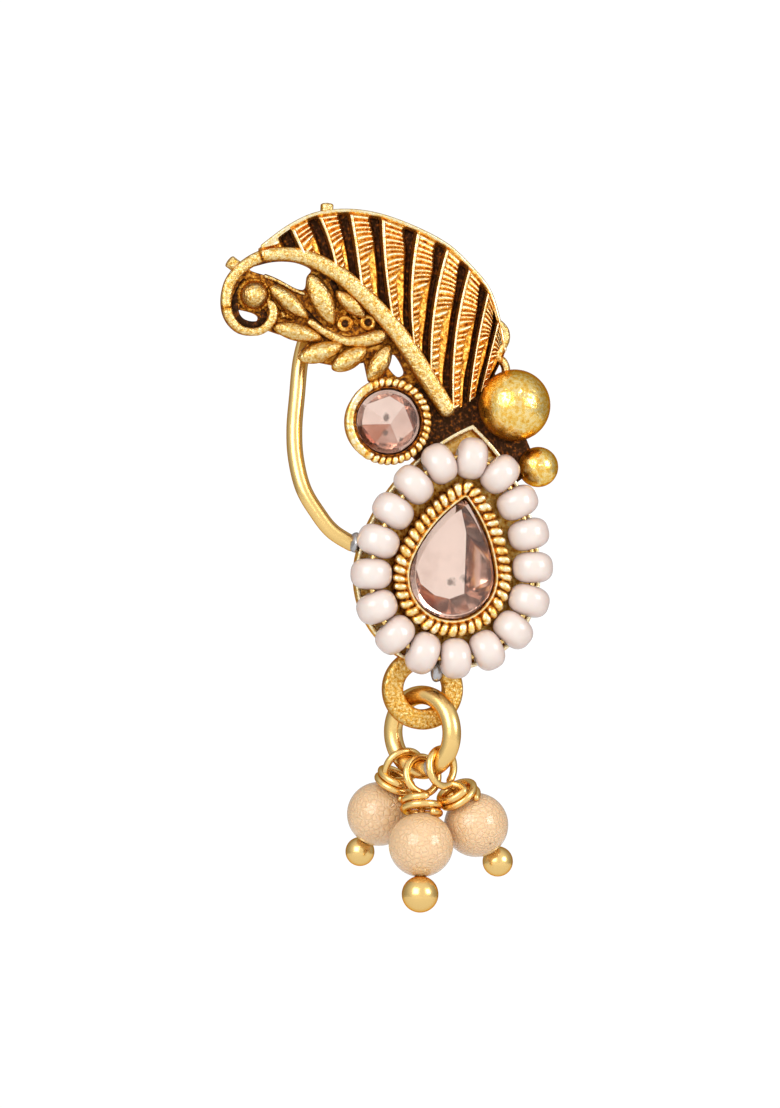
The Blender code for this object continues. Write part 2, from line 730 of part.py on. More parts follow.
def faceted(name, rings, foot):
    """A cut stone: the skin round its table, girdle and foot, with flat facets."""
    form = bmesh.new()
    for outline, forward in rings:
        for across, up in outline:
            form.verts.new(place(across, up, forward))
    for spot in foot:
        form.verts.new(spot)
    bmesh.ops.convex_hull(form, input=form.verts)
    bmesh.ops.dissolve_limit(form, angle_limit=math.radians(FACET_LIMIT), verts=form.verts,
                             edges=form.edges)
    return mesh_of(form, name)


def round_stone():
    """Round cut: an eight-sided table, a sixteen-sided girdle and a pointed foot."""
    centre = round_cup_centre()
    radius = ROUND_WIDTH / 2
    back = round_seat() + PIECE_GAP
    rings = [(circle(radius * TABLE_SHARE, centre, 8), back + GIRDLE + ROUND_CROWN),
             (circle(radius, centre, 16), back + GIRDLE), (circle(radius, centre, 16), back)]
    return faceted("round_stone", rings, [place(*centre, CUP_FLOOR + PIECE_GAP)])


def pear_stone():
    """Pear cut: a pear-shaped table and a keel along the middle of the back."""
    back = pear_seat() + PIECE_GAP
    table = [(x * TABLE_SHARE, z * TABLE_SHARE) for x, z in PEAR.outline(10)]
    rings = [(table, back + GIRDLE + PEAR_CROWN), (PEAR.outline(20), back + GIRDLE),
             (PEAR.outline(20), back)]
    tip = PEAR.at(0.0)[0]
    keel = [place(tip.x * share, tip.y * share, TRAY_FLOOR + PIECE_GAP) for share in (0.0, 0.3)]
    return faceted("pear_stone", rings, keel)


def drilled_bead(name, width, length, hole, sides, bands, fullness=1.0):
    """A bead with its hole along Z, from the rim of the hole down its outer side.

    Fullness 1 is an ellipse; above it the bead is blunter at its ends.
    """
    first = math.asin((hole / width) ** fullness)
    turns = [first + (math.pi - 2 * first) * k / bands for k in range(bands + 1)]
    profile = [(width / 2 * math.sin(turn) ** (1 / fullness),
                math.copysign(length / 2 * abs(math.cos(turn)) ** (1 / fullness), math.cos(turn)))
               for turn in turns]
    return turned(name, profile, sides)


def along(direction, centre):
    """The turn and move that stands a bead's Z axis along a direction."""
    turn = direction.to_track_quat("Z", "X").to_matrix().to_4x4()
    return Matrix.Translation(centre) @ turn


def string_point(share):
    """A point on the pearls' wire."""
    return place(*STRING.at(share)[0], PEARL_FORWARD)


def pearl_wire():
    """The thin closed wire through the pearls."""
    return tube("pearl_wire", [string_point(k / (PEARL_COUNT * 4))
                               for k in range(PEARL_COUNT * 4)], PEARL_WIRE, cyclic=True)


def jump_frame():
    """Middle of the jump ring and its level direction, from left behind to right in front."""
    turn = math.radians(JUMP_TURN)
    middle = loop_centre()
    top = middle.y - LOOP_INNER / 2 + JUMP_WIRE / 2 + JUMP_LIFT
    return (place(middle.x, top - JUMP_RING / 2, loop_forward()),
            place(math.cos(turn), 0.0, math.sin(turn)))


def jump_point(degrees):
    """A point on the jump ring, from its lowest point towards the right front."""
    middle, level = jump_frame()
    turn = math.radians(degrees)
    return middle + JUMP_RING / 2 * (math.sin(turn) * level - math.cos(turn) * place(0.0, 1.0))


def jump_ring():
    """The round wire ring in the loop."""
    return tube("jump_ring", [jump_point(360.0 * k / 20) for k in range(20)], JUMP_WIRE,
                cyclic=True)


def bead_centre(name):
    """The middle of a drop's bead."""
    _, across, forward, up = DROPS[name]
    return jump_frame()[0] + DROP_REACH * place(across, up, forward)


def pin_axes(name):
    """Eye centre, bead centre and the directions up the pin, along the ring and across."""
    eye = DROPS[name][0]
    wire = jump_point(eye)
    middle = bead_centre(name)
    up = (wire - middle).normalized()
    ring = (jump_point(eye + 1.0) - jump_point(eye - 1.0)).normalized()
    ring = (ring - up * ring.dot(up)).normalized()
    return wire, middle, up, ring, up.cross(ring)


def pin_line(name):
    """The pin's middle line: up through the bead, round the ring, down into the wrap."""
    wire, middle, up, ring, side = pin_axes(name)
    eye = JUMP_WIRE / 2 + EYE_CLEARANCE + PIN_WIRE / 2
    part = (PIN_WIRE + PIECE_GAP) / 2
    reach = (wire - middle).length
    foot = -math.sqrt((DROP_BEAD / 2) ** 2 - (DROP_HOLE / 2) ** 2) - PIN_BALL / 2
    first = math.sqrt((DROP_BEAD / 2 + PIECE_GAP + PIN_WIRE / 2) ** 2 - WRAP_RADIUS ** 2)
    pitch = PIN_WIRE + PIECE_GAP
    points = [middle + up * foot, middle + up * DROP_BEAD / 2,
              middle + up * (reach - eye - PIN_WIRE)]
    steps = 14
    for k in range(steps + 1):
        turn = math.tau * k / steps
        points.append(wire + eye * (math.sin(turn) * side - math.cos(turn) * up)
                      + ring * part * (2.0 * k / steps - 1.0))
    turns = round(12 * WRAP_TURNS)
    for k in range(turns + 1):
        turn = math.tau * k / 12
        height = first + pitch * (turns - k) / 12
        points.append(middle + up * height
                      + WRAP_RADIUS * (math.cos(turn) * ring - math.sin(turn) * side))
    return points


def drop_pin(name):
    """A head pin: its ball at the foot and its wire, as one solid."""
    points = pin_line(name)
    foot = ball("foot", points[0], PIN_BALL, 12, 8)
    return joined(f"drop_pin_{name}", [tube("pin", points, PIN_WIRE), foot])


def material(name, colour, metallic, roughness):
    """A plain material; the colour is linear."""
    made = bpy.data.materials.new(name)
    made.use_nodes = True
    shader = made.node_tree.nodes["Principled BSDF"]
    shader.inputs["Base Color"].default_value = (*colour, 1.0)
    shader.inputs["Metallic"].default_value = metallic
    shader.inputs["Roughness"].default_value = roughness
    made.diffuse_color = (*colour, 1.0)
    return made


def finished(carrier, name, mesh, finish, round_form=True):
    """A sub-part of the jewel, on its carrier."""
    thing = bpy.data.objects.new(name, mesh)
    thing.data.materials.append(finish)
    if round_form:
        thing.data.shade_smooth()
        thing.data.set_sharp_from_angle(angle=math.radians(40.0))
    thing.parent = carrier
    bpy.data.collections["nath"].objects.link(thing)
    return thing


def build():
    """Make every sub-part."""
    carrier = start_scene()
    gold = material("antique_gold", (0.72, 0.42, 0.13), 1.0, 0.32)
    bright = material("polished_gold", (0.83, 0.56, 0.20), 1.0, 0.18)
    pearl = material("cream_pearl", (0.84, 0.78, 0.73), 0.0, 0.22)
    peach = material("peach_pearl", (0.80, 0.62, 0.53), 0.0, 0.25)
    glass = material("champagne_glass", (0.72, 0.52, 0.44), 0.0, 0.05)

    frame, tip = soldered_frame()
    finished(carrier, "soldered_frame", frame, gold)
    finished(carrier, "round_stone", round_stone(), glass, round_form=False)
    finished(carrier, "pear_stone", pear_stone(), glass, round_form=False)

    pitch = STRING.length / PEARL_COUNT
    shape = drilled_bead("pearl", PEARL_DIAMETER, pitch * PEARL_SHARE, PEARL_HOLE, 10, 6,
                         PEARL_FULLNESS)
    for number in range(PEARL_COUNT):
        share = number / PEARL_COUNT
        towards = string_point(share + 0.01) - string_point(share - 0.01)
        bead = finished(carrier, f"pearl_{number + 1:02d}", shape, pearl)
        bead.matrix_local = along(towards, string_point(share))
    finished(carrier, "pearl_wire", pearl_wire(), bright)

    finished(carrier, "jump_ring", jump_ring(), bright)
    big_bead = drilled_bead("drop_bead", DROP_BEAD, DROP_BEAD, DROP_HOLE, 14, 10)
    for name in DROPS:
        _, middle, up, _, _ = pin_axes(name)
        finished(carrier, f"drop_pin_{name}", drop_pin(name), bright)
        bead = finished(carrier, f"drop_bead_{name}", big_bead, peach)
        bead.matrix_local = along(up, middle)

    nostril = Vector((tip.x, NOSTRIL_GAP / 2, tip.z))
    carrier.location = -nostril


build()
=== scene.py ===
# %% [markdown]
# # A nath nose ring in antique gold
#
# A nath is a nose ring. This one is cast brass with an antique gold plate: a curled feather over
# a pear-shaped setting that is ringed with pearls, a bent wire that grips the nostril, and three
# bead drops on a jump ring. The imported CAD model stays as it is, and each piece here takes the
# place of one of its nodes, or of a part of one. A few forms, such as the foot balls, the eyes of
# the head pins and the stones' tables, are drawn somewhat larger or smaller than its solids, to
# fit the photograph. Each cell works out the skin of one piece with numpy, or mixes one finish,
# and says why it is made that way.

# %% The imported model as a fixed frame
import math

import bmesh
import bpy
import numpy as np
from mathutils import Matrix, Vector


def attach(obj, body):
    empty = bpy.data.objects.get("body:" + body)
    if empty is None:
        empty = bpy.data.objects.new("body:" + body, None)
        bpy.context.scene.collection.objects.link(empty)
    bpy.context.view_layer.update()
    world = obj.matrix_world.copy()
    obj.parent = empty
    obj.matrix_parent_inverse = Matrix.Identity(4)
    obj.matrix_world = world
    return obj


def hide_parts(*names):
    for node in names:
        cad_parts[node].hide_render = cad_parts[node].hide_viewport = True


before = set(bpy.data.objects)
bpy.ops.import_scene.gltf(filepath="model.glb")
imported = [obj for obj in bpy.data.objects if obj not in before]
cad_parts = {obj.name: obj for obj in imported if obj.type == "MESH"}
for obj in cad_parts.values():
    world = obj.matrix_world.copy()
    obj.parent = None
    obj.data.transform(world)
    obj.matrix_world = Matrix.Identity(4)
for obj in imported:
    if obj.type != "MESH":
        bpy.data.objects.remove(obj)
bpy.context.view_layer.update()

# %% [markdown]
# ## One drawing for all pieces
#
# A jeweller draws such a casting flat on paper. The same is done here: a point is (across, up,
# forward) in millimetres, measured from the middle of the pear stone, with the casting's flat
# back at forward zero. One function stands the drawing up in the frame, so no other cell has
# to think about metres or about which way Blender's axes run.

# %% The drawing and the frame
MM = 0.001
TAU = 2.0 * math.pi
WELD = 0.0005 * MM          # points nearer than this become one
PEAR_MIDDLE = np.array([6.2465, -0.9, -18.95])
FORWARD = np.array([0.0, 0.0, 1.0])
PLAIN_BACK = 0.66           # the patina of a casting's back, which nobody rubs or oxidises much


def stood(points):
    """Drawing points (across, up, forward) in the frame: (across, -forward, up) + PEAR_MIDDLE."""
    across, up, forward = np.moveaxis(np.asarray(points, float), -1, 0)
    return (np.stack([across, -forward, up], axis=-1) + PEAR_MIDDLE) * MM


def unit(vectors):
    """Vectors shortened to length 1: v / |v|."""
    return vectors / np.linalg.norm(vectors, axis=-1, keepdims=True)


def ease(value, low, high):
    """A soft step from 0 at low to 1 at high: t * t * (3 - 2 t), with t the share of the way."""
    share = np.clip((value - low) / (high - low), 0.0, 1.0)
    return share * share * (3.0 - 2.0 * share)


def rubbed_and_shaded_round(turned_to_front):
    """Patina and painted shade round a form, by how far it faces forward: bright in front, plain
    behind.
    """
    return np.maximum(ease(turned_to_front, -0.5, 0.75),
                      PLAIN_BACK * ease(-turned_to_front, 0.30, 0.80))


def with_forward(flat, forward):
    """Flat (across, up) points at a forward place."""
    flat = np.asarray(flat, float)
    return np.concatenate([flat, np.broadcast_to(forward, flat.shape[:-1])[..., None]], axis=-1)


# %% [markdown]
# ## From a grid of numbers to a mesh
#
# Most skins here are grids: rows and columns of points. Each point makes a four-cornered face
# with its neighbours, and whole arrays of corner numbers are worked out at once. A second
# number per point, the patina, says how much of the dark antique finish was rubbed off there:
# 0 in the bottom of a groove and 1 on a crest. On round forms, on the leaves and in the pools
# between them it also holds painted shading: lighter where a form faces front, darker at its
# sides and between parts. The finishes read it as an attribute.

# %% Grids, skins and pieces


def skin(points, closed=(False, False), patina=1.0):
    """A grid of drawing points as (points, faces, patina).

    The face at row r and column c has the corners (r, c), (r, c + 1), (r + 1, c + 1), (r + 1, c).
    A closed grid runs on from its last row or column to its first.
    """
    rows, columns = points.shape[:2]
    row = np.arange(rows if closed[0] else rows - 1)[:, None]
    column = np.arange(columns if closed[1] else columns - 1)[None, :]
    right, above = (column + 1) % columns, (row + 1) % rows * columns
    faces = np.stack([row * columns + column, row * columns + right, above + right,
                      above + column], axis=-1)
    return (stood(points).reshape(-1, 3), faces.reshape(-1, 4),
            np.broadcast_to(patina, (rows, columns)).reshape(-1))


def piece(name, skins, finish, node, sharp=40.0):
    """One object made of skins that stands for a CAD node: poles merged, ends closed."""
    starts = np.cumsum([0] + [len(points) for points, _, _ in skins])
    mesh = bpy.data.meshes.new(name)
    mesh.from_pydata(np.concatenate([points for points, _, _ in skins]), [],
                     np.concatenate([faces + start for (_, faces, _), start in zip(skins, starts)]))
    mend(mesh, np.concatenate([patina for _, _, patina in skins]))
    return shown(name, mesh, finish, node, sharp)


def mend(mesh, patina):
    """Gives a mesh its patina, welds doubled points, closes holes and turns faces outward."""
    rubbed_and_shaded_level = mesh.attributes.new("patina", "FLOAT", "POINT")
    rubbed_and_shaded_level.data.foreach_set("value", patina.astype(np.float32))
    form = bmesh.new()
    form.from_mesh(mesh)
    bmesh.ops.remove_doubles(form, verts=form.verts, dist=WELD)
    bmesh.ops.holes_fill(form, edges=[edge for edge in form.edges if edge.is_boundary])
    bmesh.ops.recalc_face_normals(form, faces=form.faces)
    form.to_mesh(mesh)
    form.free()


def shown(name, mesh, finish, node, sharp=40.0):
    """A finished mesh as an object at the origin, on the model's one body."""
    mesh.materials.clear()
    mesh.materials.append(finish)
    mesh.shade_smooth()
    mesh.set_sharp_from_angle(angle=math.radians(sharp))
    made = bpy.data.objects.new(name, mesh)
    bpy.context.scene.collection.objects.link(made)
    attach(made, "root")
    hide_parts(node)
    print(f"{name}: {len(mesh.polygons)} faces")
    return made


# %% [markdown]
# ## Wires, ropes and turned forms
#
# Most of a jewel is one of three things: a wire bent along a line, a form turned round an axis,
# or a wall that follows an outline. A wire needs a frame at each of its points, so that its
# section stays upright. Here the frame leans on one chosen direction, which is simple and never
# twists, as long as the wire doesn't run along that direction.

# %% Lines, sweeps and turned forms


def through(table, at):
    """Rows of a table at fractional places, on the smooth curve through all of its rows.

    Catmull and Rom's cubic: half of 2b + (c - a) t + (2a - 5b + 4c - d) t^2
    + (3b - a - 3c + d) t^3.
    """
    table, at = np.asarray(table, float), np.asarray(at, float)
    step = np.clip(at.astype(int), 0, len(table) - 2)
    t = (at - step)[..., None]
    a, b, c, d = (table[np.clip(step + k, 0, len(table) - 1)] for k in (-1, 0, 1, 2))
    return 0.5 * (2 * b + (c - a) * t + (2 * a - 5 * b + 4 * c - d) * t ** 2
                  + (3 * b - a - 3 * c + d) * t ** 3)


def along(line, shares):
    """Points of a line at shares of its length."""
    steps = np.linalg.norm(np.diff(line, axis=0), axis=1)
    way = np.concatenate([[0.0], np.cumsum(steps)])
    return np.stack([np.interp(shares * way[-1], way, axis) for axis in line.T], axis=-1)


def crowded(count):
    """Shares from 0 to 1, crowded at both ends: (1 - cos(pi k / n)) / 2."""
    return (1.0 - np.cos(np.pi * np.arange(count + 1) / count)) / 2.0


def ring_line(centre, radius, count):
    """A circle of drawing points round a centre: centre + radius (sin a, cos a)."""
    turn = np.arange(count) / count * TAU
    return np.asarray(centre) + radius * np.stack([np.sin(turn), np.cos(turn), 0 * turn], axis=-1)


def blunt(line, radius):
    """A wire's radius with rounded ends: r sqrt(1 - (1 - d / r)^2) at a distance d from an end."""
    steps = np.linalg.norm(np.diff(line, axis=0), axis=1)
    way = np.concatenate([[0.0], np.cumsum(steps)])
    left = np.minimum(way, way[-1] - way)
    return radius * np.sqrt(1.0 - np.clip(1.0 - left / radius, 0.0, 1.0) ** 2)


def swept(line, radius, around=24, facing=FORWARD, closed=False, flat=1.0, square=1.0,
          patina=None):
    """A wire along a line: point + radius (cos a side + flat sin a top), for a once round.

    A square under 1 makes the section boxier: the cosine and sine are raised to that power.
    The radius may differ from point to point, and all round each point.
    """
    if closed:
        heading = unit(np.roll(line, -1, axis=0) - np.roll(line, 1, axis=0))
    else:
        heading = unit(np.gradient(line, axis=0))
    side = unit(np.cross(heading, np.broadcast_to(facing, line.shape)))
    top = np.cross(side, heading)
    turn = np.linspace(0.0, TAU, around, endpoint=False)
    wide = np.sign(np.cos(turn)) * np.abs(np.cos(turn)) ** square
    high = np.sign(np.sin(turn)) * np.abs(np.sin(turn)) ** square * flat
    section = wide[None, :, None] * side[:, None, :] + high[None, :, None] * top[:, None, :]
    radius = np.asarray(radius, float)
    radius = radius if radius.ndim == 2 else np.broadcast_to(radius, len(line))[:, None]
    if patina is None:
        patina = rubbed_and_shaded_round(np.sin(turn))[None, :]
    return skin(line[:, None, :] + radius[..., None] * section, (closed, True), patina)


def turned(profile, centre, axis, around=48, patina=1.0):
    """A (radius, height) profile turned about an axis through a centre.

    point = centre + height axis + radius (cos a one + sin a other), with one and other square to
    the axis.
    """
    axis = unit(np.asarray(axis, float))
    helper = np.array([0.0, 1.0, 0.0]) if abs(axis[1]) < 0.9 else np.array([1.0, 0.0, 0.0])
    one = unit(np.cross(helper, axis))
    other = np.cross(axis, one)
    turn = np.linspace(0.0, TAU, around, endpoint=False)[None, :, None]
    radius, height = (np.asarray(profile, float)[:, k][:, None, None] for k in (0, 1))
    points = centre + height * axis + radius * (np.cos(turn) * one + np.sin(turn) * other)
    return skin(points, (False, True), patina)


def ball_skin(centre, radius, dents=(), around=64, bands=40, stretch=(1.0, 1.0, 1.0),
              patina=None):
    """A ball about (across, up, forward) with dents: each is (direction, width, depth).

    radius is shortened by depth exp(-(distance / width)^2), with the distance from the dent's
    middle to the point of the ball, in millimetres.
    """
    fall = np.linspace(0.0, np.pi, bands + 1)[:, None]
    turn = np.linspace(0.0, TAU, around, endpoint=False)[None, :]
    facing = np.stack([np.sin(fall) * np.cos(turn), np.sin(fall) * np.sin(turn),
                       np.cos(fall) + 0.0 * turn], axis=-1)
    reach = np.full(facing.shape[:2], float(radius))
    for direction, width, depth in dents:
        away = np.linalg.norm(facing - unit(np.asarray(direction, float)), axis=-1) * radius
        reach -= depth * np.exp(-(away / width) ** 2)
    if patina is None:
        patina = np.maximum(rubbed_and_shaded_round(facing[..., 2]), 0.35)
    return skin(centre + reach[..., None] * facing * np.array(stretch), (False, True), patina)


# %% [markdown]
# ## Colours, and one helper for nodes
#
# Colours are written as a paint program shows them, and one function turns them into the linear
# light that Blender mixes. One more helper adds a node with its settings and its links, so that
# a finish reads from top to bottom like a recipe.

# %% Colours and nodes


def colour(code):
    """A hex colour as linear light: ((c + 0.055) / 1.055)^2.4, or c / 12.92 near black."""
    channels = np.array([int(code[k:k + 2], 16) for k in (1, 3, 5)]) / 255.0
    linear = np.where(channels <= 0.04045, channels / 12.92, ((channels + 0.055) / 1.055) ** 2.4)
    return tuple(float(c) for c in linear) + (1.0,)


def add(tree, kind, inputs=None, stops=None, **settings):
    """A new node: its settings, its inputs as values or as another node's output, its stops."""
    made = tree.nodes.new(kind)
    for setting, value in settings.items():
        setattr(made, setting, value)
    for socket, value in (inputs or {}).items():
        if isinstance(value, bpy.types.NodeSocket):
            tree.links.new(value, made.inputs[socket])
        else:
            made.inputs[socket].default_value = value
    for number, (place, code) in enumerate(stops or []):
        steps = made.color_ramp.elements
        step = steps[number] if number < len(steps) else steps.new(place)
        step.position, step.color = place, colour(code)
    return made


def new_finish(name):
    """An empty material with its Principled shader, and the object's own coordinates."""
    finish = bpy.data.materials.new(name)
    finish.use_nodes = True
    tree = finish.node_tree
    return finish, tree, tree.nodes["Principled BSDF"], add(tree, "ShaderNodeTexCoord")


# %% [markdown]
# ## Antique gold
#
# Antique plate is gold over brass that is dipped in a dark oxide and then rubbed. The rubbing
# reaches the crests, so they shine pale gold, the slopes stay orange-brown, and the grooves
# keep the near-black oxide, which is hardly a metal any more. One ramp over the patina gives all
# three, a noise with specks of 0.2 to 0.3 mm breaks up its borders, and a finer one roughens the
# surface as a sand casting's grain does.

# %% Antique gold


def antique_gold(name, stops, speck, unrest, dull=0.0, grain=0.12, depth=0.02,
                 rough=(0.55, 0.24)):
    """Rubbed antique plate: speck and grain are the sizes of its mottling in millimetres.

    The noise swings the patina by unrest about itself, and dull is what stays on the crests.
    """
    finish, tree, shader, where = new_finish(name)
    place = where.outputs["Object"]
    # The patina attribute is oxide and rubbing, and on round forms, leaves and pools also painted
    # shade and highlight.
    patina = add(tree, "ShaderNodeAttribute", attribute_name="patina").outputs["Fac"]
    mottle = add(tree, "ShaderNodeTexNoise",
                 {"Vector": place, "Scale": 1.0 / (speck * MM), "Detail": 3.0, "Roughness": 0.6})
    swing = add(tree, "ShaderNodeMath", {0: mottle.outputs["Fac"], 1: unrest,
                                           2: -unrest / 2 - dull},
                operation="MULTIPLY_ADD")
    rubbed_and_shaded_level = add(tree, "ShaderNodeMath", {0: patina, 1: swing.outputs[0]}, operation="ADD",
                 use_clamp=True)
    ramp = add(tree, "ShaderNodeValToRGB", {"Fac": rubbed_and_shaded_level.outputs[0]}, stops)
    metallic = add(tree, "ShaderNodeMapRange",
                   {"Value": rubbed_and_shaded_level.outputs[0], "From Min": 0.05, "From Max": 0.55,
                    "To Min": 0.35})
    roughness = add(tree, "ShaderNodeMapRange",
                    {"Value": rubbed_and_shaded_level.outputs[0], "To Min": rough[0], "To Max": rough[1]})
    grains = add(tree, "ShaderNodeTexNoise",
                 {"Vector": place, "Scale": 1.0 / (grain * MM), "Detail": 2.0})
    bump = add(tree, "ShaderNodeBump", {"Height": grains.outputs["Fac"], "Distance": depth * MM})
    for socket, source in (("Base Color", ramp), ("Metallic", metallic), ("Roughness", roughness),
                           ("Normal", bump)):
        tree.links.new(source.outputs[0], shader.inputs[socket])
    shader.inputs["Specular Tint"].default_value = colour("#F3A550")
    return finish


RUBBED = [(0.0, "#1C100C"), (0.12, "#3E251C"), (0.26, "#7A4214"), (0.42, "#C47A24"),
          (0.60, "#E6B050"), (0.80, "#F2D288"), (1.0, "#FCEDC4")]
SATIN = [(0.0, "#36190A"), (0.20, "#84470F"), (0.38, "#BC7820"), (0.55, "#CE983C"),
         (0.75, "#DCB366"), (1.0, "#ECD398")]
BALL = [(0.0, "#4A2410"), (0.30, "#B06A1C"), (0.55, "#E8AE42"), (0.80, "#F6CC68"),
        (1.0, "#FBE09A")]
feather_gold = antique_gold("rubbed_antique_gold", RUBBED, speck=0.28, unrest=1.4)
satin_gold = antique_gold("satin_antique_gold", SATIN, speck=0.20, unrest=2.0, dull=0.16,
                          grain=0.15, depth=0.075, rough=(0.5, 0.28))
ball_gold = antique_gold("pitted_burnished_gold", BALL, speck=0.26, unrest=1.8, dull=0.15,
                         grain=0.15, depth=0.02, rough=(0.42, 0.20))


def cast(name, skins, finish=feather_gold, sharp=40.0):
    """A piece of the casting, which is one soldered solid in the CAD model."""
    return piece(name, skins, finish, "soldered_frame", sharp)



# %% [markdown]
# ## Polished gold wire, and solder
#
# The nose wire, the jump ring and the head pins are drawn brass wire with a bright gold plate.
# Drawing leaves fine lines, far too thin to show, so only a faint waviness of 0.5 mm bends the
# reflections. The solder at three joints is a grey tin alloy that froze in lumps.

# %% Polished gold and solder


def polished_metal(name, code, slanted, roughness, ripple, depth):
    """Smooth plated metal: a colour facing and one at a slant, with ripples of some millimetres."""
    finish, tree, shader, where = new_finish(name)
    waves = add(tree, "ShaderNodeTexNoise",
                {"Vector": where.outputs["Object"], "Scale": 1.0 / (ripple * MM), "Detail": 2.0})
    bump = add(tree, "ShaderNodeBump", {"Height": waves.outputs["Fac"], "Distance": depth * MM})
    tree.links.new(bump.outputs[0], shader.inputs["Normal"])
    shader.inputs["Base Color"].default_value = colour(code)
    shader.inputs["Metallic"].default_value = 1.0
    shader.inputs["Specular Tint"].default_value = colour(slanted)
    shader.inputs["Roughness"].default_value = roughness
    return finish


wire_gold = polished_metal("polished_gold_plate", "#F4CE84", "#EDA24C", 0.23, 0.5, 0.012)
tin_solder = polished_metal("grey_tin_solder", "#BDBBBC", "#96949A", 0.28, 0.25, 0.05)

# %% [markdown]
# ## Pearls
#
# The small beads are pressed glass with a pearl coat: a milky body under a clear, hard gloss.
# The three drops have the same coat in peach, over a surface that crackled as it dried, which
# is drawn with cells of 0.36 mm. The colour turns warmer and darker where the surface turns
# away: that is painted shade and sheen at the rim, and Layer Weight gives it without knowing
# where the camera stands.

# %% Pearl coats


def worn_spots(tree, place, base, spots, code):
    """Ragged spots where a coat wore through: (place in the drawing, reach in millimetres)."""
    torn = add(tree, "ShaderNodeTexNoise", {"Vector": place, "Scale": 1.0 / (0.45 * MM)})
    for spot, reach in spots:
        away = add(tree, "ShaderNodeVectorMath", {0: place, 1: tuple(stood(spot))},
                   operation="DISTANCE")
        ragged = add(tree, "ShaderNodeMath", {0: torn.outputs["Fac"], 1: reach * 1.6 * MM,
                                              2: away.outputs["Value"]}, operation="MULTIPLY_ADD")
        here = add(tree, "ShaderNodeMapRange", {"Value": ragged.outputs[0],
                                                "From Min": reach * 1.3 * MM,
                                                "From Max": reach * 1.8 * MM,
                                                "To Min": 0.75, "To Max": 0.0})
        base = add(tree, "ShaderNodeMix", {"Factor": here.outputs[0], "A": base,
                                           "B": colour(code)}, data_type="RGBA").outputs["Result"]
    return base


def pearl_coat(name, middle, edge, crackle=0.0, spots=()):
    """Pearl lustre: one colour facing, a painted shade and sheen at a slant, crackle as its cell
    size.
    """
    finish, tree, shader, where = new_finish(name)
    place = where.outputs["Object"]
    # Layer Weight's facing mixes in the rim colour: painted shade and sheen where the surface turns
    # away.
    slant = add(tree, "ShaderNodeLayerWeight", {"Blend": 0.35})
    cloud = add(tree, "ShaderNodeTexNoise", {"Vector": place, "Scale": 1.0 / (1.2 * MM),
                                             "Detail": 2.0})
    turn = add(tree, "ShaderNodeMath", {0: cloud.outputs["Fac"], 1: 0.35, 2:
                                        slant.outputs["Facing"]}, operation="MULTIPLY_ADD")
    painted_rim_shade = add(tree, "ShaderNodeMath", {0: turn.outputs[0], 1: 0.2}, operation="SUBTRACT",
               use_clamp=True)
    tone = add(tree, "ShaderNodeMix", {"Factor": painted_rim_shade.outputs[0], "A": colour(middle),
                                       "B": colour(edge)}, data_type="RGBA")
    base = tone.outputs["Result"]
    if crackle:
        cells = add(tree, "ShaderNodeTexVoronoi", {"Vector": place, "Scale": 1.0 / (crackle * MM)},
                    feature="DISTANCE_TO_EDGE")
        crack = add(tree, "ShaderNodeMapRange", {"Value": cells.outputs["Distance"],
                                                 "From Max": 0.20})
        stained = add(tree, "ShaderNodeMix", {"Factor": crack.outputs[0], "A": colour("#DFBA8E"),
                                              "B": base}, data_type="RGBA")
        base = stained.outputs["Result"]
        bump = add(tree, "ShaderNodeBump", {"Height": crack.outputs[0], "Distance": 0.045 * MM})
        tree.links.new(bump.outputs[0], shader.inputs["Normal"])
    base = worn_spots(tree, place, base, spots, "#8A5A2E")
    tree.links.new(base, shader.inputs["Base Color"])
    shader.inputs["Roughness"].default_value = 0.30
    shader.inputs["Coat Weight"].default_value = 0.9
    shader.inputs["Coat Roughness"].default_value = 0.06
    shader.inputs["Subsurface Weight"].default_value = 0.3
    shader.inputs["Subsurface Radius"].default_value = (1.0, 0.6, 0.4)
    shader.inputs["Subsurface Scale"].default_value = 0.8 * MM
    return finish


CHIP = [((2.73, -17.80, 1.60), 0.17)]
# The second colour of each coat is its painted rim shade and sheen.
cream_pearl = pearl_coat("cream_pearl_coat", "#DCD0C8", "#CDA899")
peach_pearl = pearl_coat("peach_crackle_pearl_coat", "#E6C194", "#DCA86E", crackle=0.36,
                         spots=CHIP)

# %% [markdown]
# ## Foiled glass stones
#
# Both stones are cut glass with a coat of champagne foil on the back, so light goes in through
# the clear front, meets the foil and comes back. Each stone is one closed body: its front is
# clear glass, and the facets that look back carry the foil as a mirror, worn through in spots.

# %% Glass and foil


def clear_glass(name, code):
    """Polished glass, barely tinted."""
    finish, tree, shader, where = new_finish(name)
    film = add(tree, "ShaderNodeTexNoise", {"Vector": where.outputs["Object"],
                                            "Scale": 1.0 / (0.8 * MM)})
    gloss = add(tree, "ShaderNodeMapRange", {"Value": film.outputs["Fac"], "To Min": 0.0,
                                             "To Max": 0.05})
    tree.links.new(gloss.outputs[0], shader.inputs["Roughness"])
    shader.inputs["Base Color"].default_value = colour(code)
    shader.inputs["Transmission Weight"].default_value = 1.0
    shader.inputs["IOR"].default_value = 1.5
    return finish


